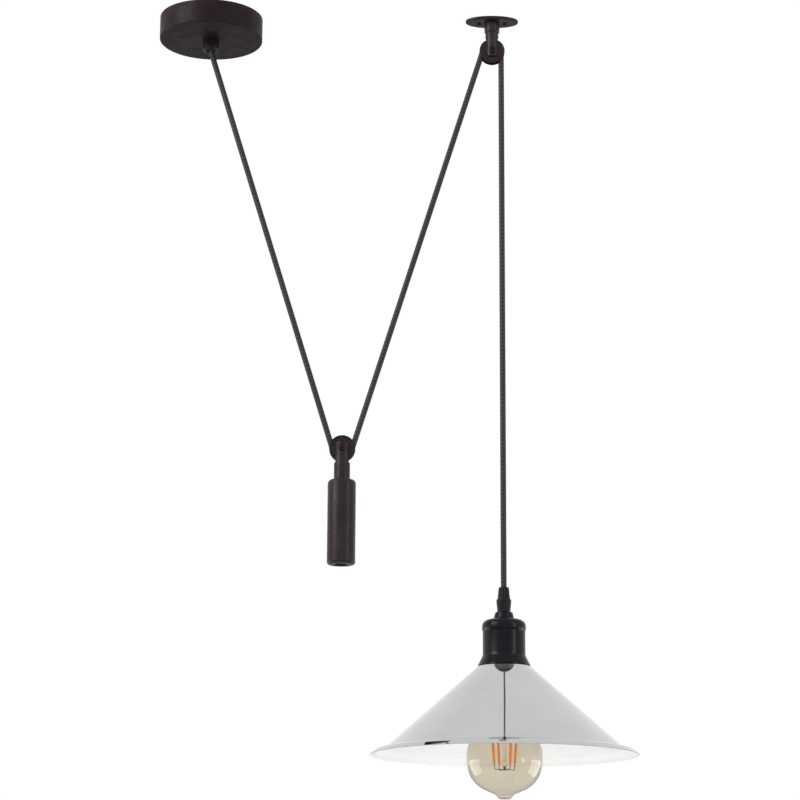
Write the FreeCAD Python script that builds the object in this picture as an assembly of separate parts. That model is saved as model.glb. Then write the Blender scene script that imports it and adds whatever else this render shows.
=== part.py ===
import FreeCAD, Part
import math
import os

# Rise and fall pendant. A flex leaves a canopy, runs down round a pulley that carries a counterweight,
# up over a pulley on the ceiling, and down to the lamp: lifting the lamp lowers the weight.
# Millimetres, Z up. The origin is the canopy's centre on the ceiling. X runs from the canopy to the
# ceiling pulley, and the pulley axles lie along Y.

V = FreeCAD.Vector

# ---- Driving dimensions ----

# Where the pieces hang
PULLEY_X = 291.0            # canopy centre to the ceiling pulley's axle
PULLEY_AXLE_Z = -34.5
WEIGHT_AXLE_Z = -455.5
CUP_TOP_Z = -618.4          # top of the lamp's cup

# Running and seating clearances
RUNNING_GAP = 0.3           # between pieces that move past each other
SHAFT_GAP = 0.08            # radial, a bush on its axle
SEAT_GAP = 0.05             # between pieces screwed or pushed together

# Flex
FLEX_D = 5.8
CORE_D = 1.9                # one insulated conductor
CORE_PITCH_R = 1.25         # conductors lie on this circle inside the flex

# Grooved pulley, the same one above and below
SHEAVE_D = 26.0
SHEAVE_WIDTH = 8.4
SHEAVE_LIP = 0.25           # how much each side of the groove opens outward
SHEAVE_EDGE = 0.35          # rounding of the rim
BUSH_R = 3.2
BUSH_STANDOUT = 0.15        # bush past the wheel's face, each side
GROOVE_DEPTH = 6.8

# Axle screws
AXLE_R = 2.0
AXLE_HEAD_R = 3.4
AXLE_HEAD_T = 2.1
AXLE_SOCKET_AF = 2.5
AXLE_SOCKET_DEPTH = 1.3
AXLE_NUT_AF = 6.6
AXLE_NUT_T = 2.6
SPOT_FACE_R = 4.1
SPOT_FACE_DEPTH = 0.9

# Canopy
CANOPY_R = 53.0
CANOPY_HEIGHT = 24.0
CANOPY_WALL = 1.0
CANOPY_EDGE = 1.2
BRACKET_WIDTH = 18.0
BRACKET_T = 1.5
BRACKET_EAR = 14.0
BRACKET_BEND = 2.5
BRACKET_SLOT_X = 36.0
BRACKET_SLOT_R = 2.4
BRACKET_SLOT_LENGTH = 12.0
BRACKET_CABLE_R = 6.0
SIDE_SCREW_Z = -9.0
SIDE_SCREW_R = 2.0
SIDE_SCREW_LENGTH = 7.0
SIDE_SCREW_SOCKET_AF = 2.0

# Canopy cord grip
GRIP_R = 8.4
GRIP_LENGTH = 12.0
GRIP_NOSE = 3.6             # rounding of its lower end
GRIP_MOUTH_R = 5.0          # the bore opens out to this at the mouth
GRIP_THREAD_R = 5.0
GRIP_THREAD_LENGTH = 6.5
GRIP_NUT_AF = 14.0
GRIP_NUT_T = 3.0
GRIP_SCREW_R = 1.5
GRIP_SCREW_DROP = 5.0       # below the canopy's underside
FLEX_TAIL_Z = -14.0         # where the flex's cover ends inside the canopy

# Terminal block in the canopy
POLE_COUNT = 3
POLE_PITCH = 9.0
POLE_WIDTH = 5.6
BLOCK_X = 12.0
BLOCK_LENGTH = 16.0
BLOCK_WEB_T = 4.0
BLOCK_DEPTH = 11.5
BARREL_R = 2.2
BARREL_BORE_R = 1.2
BARREL_INSET = 1.2
BARREL_DROP = 7.5           # barrel axis below the bracket
CLAMP_SCREW_R = 1.2
CLAMP_SCREW_INSET = 4.0
BLOCK_SCREW_R = 1.1
BLOCK_SCREW_HEAD_R = 1.6
BLOCK_SCREW_HEAD_T = 1.5

# Ceiling pulley plate and hanger
PLATE_HALF_LENGTH = 27.2    # oval plate, longer along X
PLATE_HALF_WIDTH = 14.0
PLATE_T = 3.0
PLATE_TOP_EDGE = 0.5
PLATE_FOOT_EDGE = 1.2
PLATE_HOLE_PITCH = 25.0
PLATE_HOLE_R = 2.2
PLATE_SINK_R = 4.2
PLATE_SCREW_R = 3.0
PLATE_SCREW_HEAD_R = 5.4
PLATE_SCREW_LENGTH = 12.0
STEM_R = 7.8
STEM_LENGTH = 10.0
STEM_NECK_R = 6.7
CHEEK_REACH = 6.5           # cheek past the axle
CHEEK_ROUND = 1.6
SLOT_CLEARANCE = 1.8        # between the sheave's rim and the slot's closed end

# Counterweight
WEIGHT_FORK_R = 8.0
WEIGHT_R = 14.0
WEIGHT_LENGTH = 85.0
WEIGHT_BELOW_AXLE = 31.7    # axle to the top of the weight
WEIGHT_TOP_ROUND = 4.0
WEIGHT_BOTTOM_ROUND = 2.6
WEIGHT_RECESS_R = 8.5
WEIGHT_RECESS_DEPTH = 2.0
STUD_R = 4.0
STUD_IN_FORK = 10.0
STUD_IN_WEIGHT = 14.0

# Lamp cord grip, heights above the cup's top
LAMP_GRIP_BASE_T = 12.8
LAMP_GRIP_BASE_TOP_R = 7.4
LAMP_GRIP_BASE_FOOT_R = 6.3
LAMP_GRIP_CAP_T = 11.6
LAMP_GRIP_CAP_TOP_R = 5.05
LAMP_GRIP_CAP_FOOT_R = 6.15
LAMP_GRIP_SPIGOT_R = 4.4
LAMP_GRIP_SPIGOT_T = 5.0
COLLET_T = 3.2
COLLET_SLIT = 0.8
FLUTE_COUNT = 12
FLUTE_R = 0.5
NIPPLE_R = 5.0
NIPPLE_BORE_R = 3.4
NIPPLE_UP = 7.0
NIPPLE_DOWN = 21.5

# Lamp cup, spun sheet
CUP_HEIGHT = 52.2
CUP_WALL = 0.8
CUP_NECK_R = 8.4
CUP_NECK_FOOT_R = 10.4
CUP_NECK_T = 7.0
CUP_BEAD_R = 21.5
CUP_BEAD_DROP = 17.0
CUP_BARREL_R = 20.85
CUP_FLARE_DROP = 42.5
CUP_SKIRT_R = 25.7

# Lampholder
HOLDER_R = 19.4
HOLDER_WALL = 2.0
HOLDER_TOP_DROP = 9.0       # below the cup's top
HOLDER_BOSS_R = 10.0
HOLDER_BOSS_T = 7.6
HOLDER_ROOF_R = 14.6        # flat part of the dome's inside
HOLDER_SPLIT_DROP = 29.6
HOLDER_MOUTH_DROP = 84.0
HOLDER_LIP_R = 16.2
HOLDER_LIP_T = 1.6
HOLDER_LEDGE_R = 15.4
HOLDER_LEDGE_T = 2.5
EARTH_TAG_R = 7.6
EARTH_TAG_T = 0.8
EARTH_TAG_REACH = 13.5
EARTH_TAG_WIDTH = 4.0
NIPPLE_NUT_AF = 13.0
NIPPLE_NUT_T = 2.8
FLEX_END_DROP = 21.0        # where the flex's cover ends in the lampholder
BLOCK_TOP_DROP = 40.0       # ceramic contact block
BLOCK_T = 10.0
SHELL_R = 13.9
SHELL_WALL = 0.4
SHELL_LENGTH = 26.0
SHELL_HOLE_R = 7.5
CONTACT_WIDTH = 5.0
CONTACT_T = 0.6
CONTACT_LEFT_X = -6.2
CONTACT_RIGHT_X = 4.4
CONTACT_LEAF_X = 3.4
TERMINAL_X = 7.5
TERMINAL_LENGTH = 8.0
TERMINAL_WIDTH = 6.0
TERMINAL_T = 7.0
TERMINAL_POST_R = 1.2
LIVE_POST_X = -5.0
NEUTRAL_POST_X = 9.5
TERMINAL_SCREW_R = 1.4
TERMINAL_SCREW_HEAD_R = 2.2
TERMINAL_SCREW_HEAD_T = 1.2

# Shade, spun sheet
SHADE_R = 130.0
SHADE_WALL = 0.6
SHADE_HOLE_R = 20.2
SHADE_COLLAR_R = 22.8
SHADE_CONE_R = 115.5
SHADE_CONE_DROP = 81.9
SHADE_RIM_SHOULDER_R = 125.5
SHADE_RIM_SHOULDER_DROP = 2.0
SHADE_RIM_DROP = 6.4
SHADE_RIM_ROUND = 7.0
RING_R = 27.0
RING_NECK_R = 21.6
RING_T = 7.8
RING_FLANGE_T = 2.5
RING_NOTCH_COUNT = 16
RING_NOTCH_R = 1.5

# Bulb
BULB_R = 36.9
BULB_TIP_DROP = 180.9
BULB_EQUATOR_UP = 36.9      # widest part above the tip
BULB_CAP_R = 13.2
BULB_CAP_WALL = 0.4
BULB_CAP_LENGTH = 23.0
BULB_CONTACT_R = 5.2
BULB_CONTACT_T = 1.0
BULB_INSULATOR_R = 9.1
BULB_INSULATOR_T = 3.2
BULB_NECK_R = 12.5
BULB_THROAT_R = 14.5
BULB_THROAT_UP = 74.9       # above the tip
BULB_GLASS_WALL = 0.8
BULB_STEM_R = 2.1
BULB_STEM_FLARE_R = 11.4
BULB_STEM_END_UP = 31.0     # above the tip
FILAMENT_COUNT = 4
FILAMENT_R = 1.3
FILAMENT_LENGTH = 38.0
FILAMENT_TOP_R = 14.0
FILAMENT_FOOT_R = 11.0
FILAMENT_FOOT_UP = 31.4     # above the tip
FILAMENT_TURN = 25.6        # degrees, the first filament from the X axis
WIRE_R = 0.35
WIRE_REACH = 3.2            # wire past a filament's end

# ---- Worked out from them ----

FLEX_R = FLEX_D / 2
BORE_R = FLEX_R + RUNNING_GAP
SHEAVE_R = SHEAVE_D / 2
PITCH_R = SHEAVE_R - GROOVE_DEPTH + BORE_R
SLOT_WIDTH = SHEAVE_WIDTH + 2 * RUNNING_GAP
DROP_X = PULLEY_X + PITCH_R
GRIP_FOOT_Z = -CANOPY_HEIGHT - GRIP_LENGTH
BEND_Z = GRIP_FOOT_Z + 1.0
BARREL_Z = -BRACKET_T - BARREL_DROP
SLOPE = SHADE_CONE_DROP / (SHADE_CONE_R - SHADE_COLLAR_R)
FLARE = math.atan2(CUP_SKIRT_R - CUP_BARREL_R, CUP_HEIGHT - CUP_FLARE_DROP)
SKIRT_SEAT_R = CUP_SKIRT_R - CUP_WALL * math.cos(FLARE)
SKIRT_SEAT = -CUP_HEIGHT - CUP_WALL * math.sin(FLARE)
SHADE_TOP = SKIRT_SEAT + (SKIRT_SEAT_R - SHADE_COLLAR_R) * SLOPE - SEAT_GAP
RING_TOP = SHADE_TOP - SHADE_WALL - SEAT_GAP
BLOCK_FOOT_DROP = BLOCK_TOP_DROP + BLOCK_T
BULB_TOP_DROP = 59.1        # the bulb's contact below the cup's top


def rise_between_pulleys():
    return BEND_Z + PULLEY_AXLE_Z - 2 * WEIGHT_AXLE_Z


# Both legs of the flex lean alike, because one tension pulls in both.
LEAN = math.acos(3 * PITCH_R / math.hypot(PULLEY_X, rise_between_pulleys())) - math.atan2(
    rise_between_pulleys(), PULLEY_X
)
LEFT_LEG = (BEND_Z - WEIGHT_AXLE_Z + PITCH_R * math.sin(LEAN)) / math.cos(LEAN)
WEIGHT_X = LEFT_LEG * math.sin(LEAN) + PITCH_R * math.cos(LEAN)


# ---- Shapes that many pieces share ----

def rounded_edges(points, radii, closed):
    """Straight edges between corners, with a tangent arc where a corner has a radius."""
    count = len(points)
    spans = []
    for i, (corner, radius) in enumerate(zip(points, radii)):
        if radius == 0:
            spans.append((corner, None, corner))
            continue
        back = (points[i - 1] - corner).normalize()
        ahead = (points[(i + 1) % count] - corner).normalize()
        half_turn = (math.pi - back.getAngle(ahead)) / 2
        reach = radius * math.tan(half_turn)
        inward = radius / math.cos(half_turn) - radius
        middle = corner + (back + ahead).normalize() * inward
        spans.append((corner + back * reach, middle, corner + ahead * reach))
    edges = []
    for i, (start, middle, end) in enumerate(spans):
        if middle is not None:
            edges.append(Part.Arc(start, middle, end).toShape())
        following = spans[(i + 1) % count][0]
        if (closed or i + 1 < count) and following.distanceToPoint(end) > 1e-6:
            edges.append(Part.LineSegment(end, following).toShape())
    return edges


def flat_face(outline):
    """A face in the XZ plane from corners (x, z, optional corner radius)."""
    points = [V(corner[0], 0, corner[1]) for corner in outline]
    radii = [corner[2] if len(corner) > 2 else 0 for corner in outline]
    return Part.Face(Part.Wire(rounded_edges(points, radii, True)))


def turned(outline):
    """A solid of revolution about Z from corners (radius, height, optional corner radius)."""
    return flat_face(outline).revolve(V(0, 0, 0), V(0, 0, 1), 360)


def sheet(outline, wall):
    """A closed outline of sheet metal: the given line and its copy one wall to the right of it."""
    flat = [(corner[0], corner[1]) for corner in outline]
    radii = [corner[2] if len(corner) > 2 else 0 for corner in outline]
    ways = []
    for (x0, z0), (x1, z1) in zip(flat, flat[1:]):
        length = math.hypot(x1 - x0, z1 - z0)
        ways.append(((x1 - x0) / length, (z1 - z0) / length))
    inside = []
    for i, (x, z) in enumerate(flat):
        before = ways[max(i - 1, 0)]
        after = ways[min(i, len(ways) - 1)]
        share = wall / (1 + before[0] * after[0] + before[1] * after[1])
        turn = before[0] * after[1] - before[1] * after[0]
        radius = 0 if radii[i] == 0 else radii[i] + (wall if turn > 0 else -wall)
        offset_x = (before[1] + after[1]) * share
        offset_z = -(before[0] + after[0]) * share
        inside.append((x + offset_x, z + offset_z, max(radius, 0)))
    return [(x, z, radius) for (x, z), radius in zip(flat, radii)] + inside[::-1]


def rod(radius, start, end):
    """A round rod between two points."""
    return Part.makeCylinder(radius, (end - start).Length, start, end - start)


def hex_prism(across_flats, height):
    """A hexagonal prism standing on the XY plane."""
    corner_r = across_flats / math.sqrt(3)
    angles = [math.radians(60 * k) for k in range(7)]
    corners = [V(corner_r * math.cos(a), corner_r * math.sin(a), 0) for a in angles]
    return Part.Face(Part.makePolygon(corners)).extrude(V(0, 0, height))


def hex_nut(across_flats, height, bore_r):
    """A nut on the XY plane, its corners rounded off at both faces."""
    corner_r = across_flats / math.sqrt(3)
    flat_r = across_flats / 2
    drop = (corner_r - flat_r) / math.sqrt(3)
    rounding = turned([
        (0, 0), (flat_r, 0), (corner_r, drop), (corner_r, height - drop), (flat_r, height), (0, height),
    ])
    nut = hex_prism(across_flats, height).common(rounding)
    return nut.cut(Part.makeCylinder(bore_r, height))


def box(x, y, z):
    """A box from three (low, high) pairs."""
    return Part.makeBox(x[1] - x[0], y[1] - y[0], z[1] - z[0], V(x[0], y[0], z[0]))


def tube_along(edges, radius):
    """A round bar along edges that follow on from each other."""
    first = edges[0]
    start = first.valueAt(first.FirstParameter)
    heading = first.tangentAt(first.FirstParameter)
    section = Part.Wire([Part.Circle(start, heading, radius).toShape()])
    return Part.Wire(edges).makePipeShell([section], True, False)


def bend_radii(points):
    """The bend at each inner corner, as large as its two runs allow."""
    radii = [0]
    for before, corner, after in zip(points, points[1:], points[2:]):
        back = before - corner
        ahead = after - corner
        turn = math.pi - back.getAngle(ahead)
        radii.append(0.45 * min(back.Length, ahead.Length) / math.tan(turn / 2))
    return radii + [0]


def conductor(points):
    """One insulated conductor along its corners."""
    return tube_along(rounded_edges(points, bend_radii(points), False), CORE_D / 2)


def core_place(angle, z):
    """The centre of a conductor in the flex's end face."""
    turn = math.radians(angle)
    return V(CORE_PITCH_R * math.cos(turn), CORE_PITCH_R * math.sin(turn), z)


def around(shape, count, first=0.0):
    """Copies of a shape evenly about Z."""
    copies = []
    for k in range(count):
        copy = shape.copy()
        copy.rotate(V(0, 0, 0), V(0, 0, 1), first + 360 * k / count)
        copies.append(copy)
    return copies


def moved(shape, x, y, z):
    shape.translate(V(x, y, z))
    return shape


def on_axle(shape, x, z):
    """Turns a shape made about Z so that its top faces the front, -Y, and puts it on an axle."""
    shape.rotate(V(0, 0, 0), V(1, 0, 0), 90)
    return moved(shape, x, 0, z)


def in_lamp(shape):
    """Lamp pieces are made with the cup's top at the origin."""
    return moved(shape, DROP_X, 0, CUP_TOP_Z)


# ---- Canopy ----

def ceiling_bracket():
    """Bent strip on the ceiling, with slots for its screws and an ear at each end."""
    inner_r = CANOPY_R - CANOPY_WALL
    half = math.sqrt(inner_r ** 2 - (BRACKET_WIDTH / 2) ** 2) - RUNNING_GAP
    line = [(-half, -BRACKET_EAR), (-half, 0, BRACKET_BEND), (half, 0, BRACKET_BEND), (half, -BRACKET_EAR)]
    strip = flat_face(sheet(line, BRACKET_T)).extrude(V(0, BRACKET_WIDTH, 0))
    strip.translate(V(0, -BRACKET_WIDTH / 2, 0))
    holes = [rod(BRACKET_CABLE_R, V(0, 0, -BRACKET_T), V(0, 0, 0))]
    reach = BRACKET_SLOT_LENGTH / 2 - BRACKET_SLOT_R
    for side in (-1, 1):
        middle = side * BRACKET_SLOT_X
        for end in (-reach, reach):
            holes.append(rod(BRACKET_SLOT_R, V(middle + end, 0, -BRACKET_T), V(middle + end, 0, 0)))
        holes.append(box(
            (middle - reach, middle + reach), (-BRACKET_SLOT_R, BRACKET_SLOT_R), (-BRACKET_T, 0),
        ))
        ear = V(side * (half - 2 * BRACKET_T), 0, SIDE_SCREW_Z)
        holes.append(rod(SIDE_SCREW_R + SEAT_GAP, ear, ear + V(side * 3 * BRACKET_T, 0, 0)))
    screw_place = V(BLOCK_X + BLOCK_LENGTH / 2, POLE_PITCH / 2, -BRACKET_T)
    holes.append(rod(BLOCK_SCREW_R + SEAT_GAP, screw_place, screw_place + V(0, 0, BRACKET_T)))
    return strip.cut(holes)


def canopy_cup():
    """Round cover over the bracket, with a hole for the cord grip and two side screw holes."""
    hole_r = GRIP_THREAD_R + SEAT_GAP
    line = [(CANOPY_R, 0), (CANOPY_R, -CANOPY_HEIGHT, CANOPY_EDGE), (hole_r, -CANOPY_HEIGHT)]
    cup = turned(sheet(line, CANOPY_WALL))
    reach = V(CANOPY_R + 1, 0, 0)
    side_hole = rod(SIDE_SCREW_R + RUNNING_GAP, V(0, 0, SIDE_SCREW_Z) - reach, V(0, 0, SIDE_SCREW_Z) + reach)
    return cup.cut(side_hole)


def canopy_side_screws():
    """Two headless screws through the cup's wall into the bracket's ears, flush outside."""
    outer = CANOPY_R - RUNNING_GAP
    screw = rod(SIDE_SCREW_R, V(outer - SIDE_SCREW_LENGTH, 0, SIDE_SCREW_Z), V(outer, 0, SIDE_SCREW_Z))
    socket = hex_prism(SIDE_SCREW_SOCKET_AF, SIDE_SCREW_R)
    socket.rotate(V(0, 0, 0), V(0, 1, 0), 90)
    screw = screw.cut(moved(socket, outer - SIDE_SCREW_R, 0, SIDE_SCREW_Z))
    return Part.makeCompound(around(screw, 2))


def canopy_grip_body():
    """Cord grip under the canopy: a threaded neck through the cup, and a mouth that lets the flex lean."""
    foot = GRIP_FOOT_Z
    seat = -CANOPY_HEIGHT - SEAT_GAP
    neck_r = GRIP_THREAD_R
    grip = turned([
        (BORE_R, seat + GRIP_THREAD_LENGTH), (neck_r, seat + GRIP_THREAD_LENGTH), (neck_r, seat),
        (GRIP_R, seat, 0.6), (GRIP_R, foot, GRIP_NOSE), (GRIP_MOUTH_R - 0.9, foot),
        (BORE_R, foot + GRIP_LENGTH - 2.0),
    ])
    screw_z = -CANOPY_HEIGHT - GRIP_SCREW_DROP
    return grip.cut(rod(GRIP_SCREW_R + SEAT_GAP, V(0, 0, screw_z), V(0, GRIP_R + 1, screw_z)))


def canopy_grip_nut():
    nut = hex_nut(GRIP_NUT_AF, GRIP_NUT_T, GRIP_THREAD_R + SEAT_GAP)
    return moved(nut, 0, 0, -CANOPY_HEIGHT + CANOPY_WALL + SEAT_GAP)


def canopy_grip_screw():
    """Nylon screw at the back of the grip that holds the flex."""
    z = -CANOPY_HEIGHT - GRIP_SCREW_DROP
    tip = V(0, FLEX_R + RUNNING_GAP + 0.6, z)
    head = V(0, GRIP_R - RUNNING_GAP, z)
    slot = box((-GRIP_SCREW_R, GRIP_SCREW_R), (head.y - 0.8, head.y), (z - 0.3, z + 0.3))
    return rod(GRIP_SCREW_R, tip, head).cut(slot)


def pole_places():
    first = -POLE_PITCH * (POLE_COUNT - 1) / 2
    return [first + POLE_PITCH * k for k in range(POLE_COUNT)]


def clamp_screw_places():
    return [
        (x, y)
        for y in pole_places()
        for x in (BLOCK_X + CLAMP_SCREW_INSET, BLOCK_X + BLOCK_LENGTH - CLAMP_SCREW_INSET)
    ]


def terminal_block():
    """Three-pole block under the bracket: a web, and a housing round each brass barrel."""
    top = -BRACKET_T - SEAT_GAP
    length = (BLOCK_X, BLOCK_X + BLOCK_LENGTH)
    outer = pole_places()[-1] + POLE_WIDTH / 2
    block = box(length, (-outer, outer), (top - BLOCK_WEB_T, top))
    foot = top - BLOCK_DEPTH
    for y in pole_places():
        pole = box(length, (y - POLE_WIDTH / 2, y + POLE_WIDTH / 2), (foot, top))
        edges = [e for e in pole.Edges if abs(e.CenterOfMass.z - foot) < 0.01]
        block = block.fuse(pole.makeFillet(0.8, edges))
    holes = []
    for y in pole_places():
        holes.append(rod(BARREL_R + SEAT_GAP, V(length[0], y, BARREL_Z), V(length[1], y, BARREL_Z)))
    for x, y in clamp_screw_places():
        holes.append(rod(CLAMP_SCREW_R + RUNNING_GAP, V(x, y, foot), V(x, y, BARREL_Z)))
    middle = BLOCK_X + BLOCK_LENGTH / 2
    holes.append(rod(
        BLOCK_SCREW_R + SEAT_GAP, V(middle, POLE_PITCH / 2, foot), V(middle, POLE_PITCH / 2, top),
    ))
    return block.cut(holes).removeSplitter()


def terminal_barrels():
    """Brass barrels that join the supply to the flex's conductors."""
    barrels = []
    for y in pole_places():
        start = V(BLOCK_X + BARREL_INSET, y, BARREL_Z)
        end = V(BLOCK_X + BLOCK_LENGTH - BARREL_INSET, y, BARREL_Z)
        barrel = rod(BARREL_R, start, end).cut(rod(BARREL_BORE_R, start, end))
        for x, screw_y in clamp_screw_places():
            if screw_y == y:
                foot = V(x, y, BARREL_Z - BARREL_R)
                barrel = barrel.cut(rod(CLAMP_SCREW_R + SEAT_GAP, foot, V(x, y, BARREL_Z)))
        barrels.append(barrel)
    return Part.makeCompound(barrels)


def terminal_screws():
    """Slotted clamp screws, two to a barrel."""
    screws = []
    foot = BARREL_Z - BARREL_R - 1.0
    for x, y in clamp_screw_places():
        screw = rod(CLAMP_SCREW_R, V(x, y, foot), V(x, y, BARREL_Z - BARREL_BORE_R / 2))
        slot = box((x - CLAMP_SCREW_R, x + CLAMP_SCREW_R), (y - 0.25, y + 0.25), (foot, foot + 0.6))
        screws.append(screw.cut(slot))
    return Part.makeCompound(screws)


def terminal_block_screw():
    x = BLOCK_X + BLOCK_LENGTH / 2
    y = POLE_PITCH / 2
    seat = -BRACKET_T - 2 * SEAT_GAP - BLOCK_WEB_T
    shank = rod(BLOCK_SCREW_R, V(x, y, seat), V(x, y, -RUNNING_GAP))
    head = rod(BLOCK_SCREW_HEAD_R, V(x, y, seat - BLOCK_SCREW_HEAD_T), V(x, y, seat))
    return shank.fuse(head)


def canopy_conductor(angle, y):
    """From the flex's end to a barrel's mouth."""
    start = core_place(angle, FLEX_TAIL_Z + SEAT_GAP)
    turn = V(start.x, start.y, BARREL_Z)
    lead = V(BLOCK_X - 3.0, y, BARREL_Z)
    end = V(BLOCK_X + BARREL_INSET - SEAT_GAP, y, BARREL_Z)
    points = [start, turn, lead, end]
    if abs(y - start.y) < 0.01:
        points.remove(lead)
    return conductor(points)


def canopy_live_wire():
    return canopy_conductor(120, pole_places()[-1])


def canopy_neutral_wire():
    return canopy_conductor(240, pole_places()[0])


def canopy_earth_wire():
    return canopy_conductor(0, 0)


# ---- Ceiling pulley ----

def pulley_plate():
    """Oval plate on the ceiling: a countersunk hole near each end, and one over the stem from above."""
    oval = Part.Ellipse(V(0, 0, 0), PLATE_HALF_LENGTH, PLATE_HALF_WIDTH).toShape()
    plate = Part.Face(Part.Wire([oval])).extrude(V(0, 0, -PLATE_T))
    for height, rounding in ((0, PLATE_TOP_EDGE), (-PLATE_T, PLATE_FOOT_EDGE)):
        rim = [e for e in plate.Edges if abs(e.BoundBox.ZMin - height) + abs(e.BoundBox.ZMax - height) < 0.01]
        plate = plate.makeFillet(rounding, rim)
    sink = PLATE_SINK_R - PLATE_HOLE_R
    fixing = turned([
        (0, 0), (PLATE_HOLE_R, 0), (PLATE_HOLE_R, sink - PLATE_T), (PLATE_SINK_R, -PLATE_T), (0, -PLATE_T),
    ])
    fixings = []
    for side in (-1, 1):
        fixings.append(moved(fixing.copy(), side * PLATE_HOLE_PITCH / 2, 0, 0))
    head_t = PLATE_SCREW_HEAD_R - PLATE_SCREW_R
    wide = PLATE_SCREW_HEAD_R + SEAT_GAP
    narrow = PLATE_SCREW_R + SEAT_GAP
    centre = turned([(0, 0), (wide, 0), (narrow, -head_t), (narrow, -PLATE_T), (0, -PLATE_T)])
    return moved(plate.cut(fixings + [centre]), PULLEY_X, 0, 0)


def pulley_plate_screw():
    """Countersunk screw down through the plate into the stem."""
    head_t = PLATE_SCREW_HEAD_R - PLATE_SCREW_R
    top = -RUNNING_GAP
    screw = turned([
        (0, top), (PLATE_SCREW_HEAD_R - RUNNING_GAP, top), (PLATE_SCREW_R, -head_t),
        (PLATE_SCREW_R, -PLATE_SCREW_LENGTH), (0, -PLATE_SCREW_LENGTH),
    ])
    return moved(screw.cut(moved(hex_prism(AXLE_SOCKET_AF, 2.0), 0, 0, -2.0)), PULLEY_X, 0, 0)


def fork_cuts(fork_r, open_end, closed_end):
    """What is milled out of a fork about its axle at the origin: slot, axle hole and spot faces."""
    slot = box(
        (-fork_r - 1, fork_r + 1), (-SLOT_WIDTH / 2, SLOT_WIDTH / 2), sorted((open_end, closed_end)),
    )
    out = fork_r + 1
    axle = rod(AXLE_R + SEAT_GAP, V(0, -out, 0), V(0, out, 0))
    seat = fork_r - SPOT_FACE_DEPTH
    front = rod(SPOT_FACE_R, V(0, -out, 0), V(0, -seat, 0))
    back = rod(SPOT_FACE_R, V(0, seat, 0), V(0, out, 0))
    return [slot, axle, front, back]


def pulley_hanger():
    """Turned stem, stepped down to a neck that is slotted into two cheeks for the sheave."""
    top = -PLATE_T - SEAT_GAP - PULLEY_AXLE_Z
    step = top - STEM_LENGTH
    stem = turned([
        (0, top), (STEM_R, top, 0.5), (STEM_R, step, 0.8), (STEM_NECK_R, step - 1.5, 0.6),
        (STEM_NECK_R, -CHEEK_REACH, CHEEK_ROUND), (0, -CHEEK_REACH),
    ])
    screw_foot = -PLATE_SCREW_LENGTH - RUNNING_GAP - PULLEY_AXLE_Z
    screw_hole = rod(PLATE_SCREW_R + SEAT_GAP, V(0, 0, screw_foot), V(0, 0, top))
    cuts = fork_cuts(STEM_NECK_R, -CHEEK_REACH - 1, SHEAVE_R + SLOT_CLEARANCE)
    return moved(stem.cut(cuts + [screw_hole]), PULLEY_X, 0, PULLEY_AXLE_Z)


def axle_bolt(fork_r, x, z):
    """Button head with a hexagon socket at the front, shank through both cheeks to the nut."""
    seat = fork_r - SPOT_FACE_DEPTH + SEAT_GAP
    end = -seat - AXLE_NUT_T - 0.6
    bolt = turned([
        (0, seat + AXLE_HEAD_T), (AXLE_HEAD_R, seat + AXLE_HEAD_T, 1.2), (AXLE_HEAD_R, seat),
        (AXLE_R, seat), (AXLE_R, end, 0.4), (0, end),
    ])
    socket = moved(hex_prism(AXLE_SOCKET_AF, 2.0), 0, 0, seat + AXLE_HEAD_T - AXLE_SOCKET_DEPTH)
    return on_axle(bolt.cut(socket), x, z)


def axle_nut(fork_r, x, z):
    seat = fork_r - SPOT_FACE_DEPTH + SEAT_GAP
    nut = hex_nut(AXLE_NUT_AF, AXLE_NUT_T, AXLE_R + SEAT_GAP)
    return on_axle(moved(nut, 0, 0, -seat - AXLE_NUT_T), x, z)


def hanger_axle_bolt():
    return axle_bolt(STEM_NECK_R, PULLEY_X, PULLEY_AXLE_Z)


def hanger_axle_nut():
    return axle_nut(STEM_NECK_R, PULLEY_X, PULLEY_AXLE_Z)


def sheave(x, z):
    """Pulley wheel: a round-bottomed groove that clears the flex, sides opening a little to the rim."""
    half = SHEAVE_WIDTH / 2
    mouth = BORE_R + SHEAVE_LIP
    bore = BUSH_R + SEAT_GAP
    rim = SHEAVE_R
    edge = SHEAVE_EDGE
    root = PITCH_R - BORE_R
    side = [
        V(root, 0, 0), V(PITCH_R, 0, BORE_R), V(rim, 0, mouth), V(rim, 0, half - edge),
        V(rim - edge, 0, half), V(bore, 0, half), V(bore, 0, -half), V(rim - edge, 0, -half),
        V(rim, 0, edge - half), V(rim, 0, -mouth), V(PITCH_R, 0, -BORE_R),
    ]
    edges = [Part.Arc(side[-1], side[0], side[1]).toShape()]
    edges += [Part.LineSegment(a, b).toShape() for a, b in zip(side[1:], side[2:])]
    wheel = Part.Face(Part.Wire(edges)).revolve(V(0, 0, 0), V(0, 0, 1), 360)
    return on_axle(wheel, x, z)


def bush(x, z):
    """Brass bush pressed in the wheel, running on the axle."""
    half = SHEAVE_WIDTH / 2 + BUSH_STANDOUT
    inner = AXLE_R + SHAFT_GAP
    ring = turned([(inner, -half), (BUSH_R, -half, 0.2), (BUSH_R, half, 0.2), (inner, half)])
    return on_axle(ring, x, z)


def ceiling_sheave_wheel():
    return sheave(PULLEY_X, PULLEY_AXLE_Z)


def ceiling_sheave_bush():
    return bush(PULLEY_X, PULLEY_AXLE_Z)


# ---- Counterweight ----

def weight_sheave_wheel():
    return sheave(WEIGHT_X, WEIGHT_AXLE_Z)


def weight_sheave_bush():
    return bush(WEIGHT_X, WEIGHT_AXLE_Z)


def weight_axle_bolt():
    return axle_bolt(WEIGHT_FORK_R, WEIGHT_X, WEIGHT_AXLE_Z)


def weight_axle_nut():
    return axle_nut(WEIGHT_FORK_R, WEIGHT_X, WEIGHT_AXLE_Z)


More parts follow.
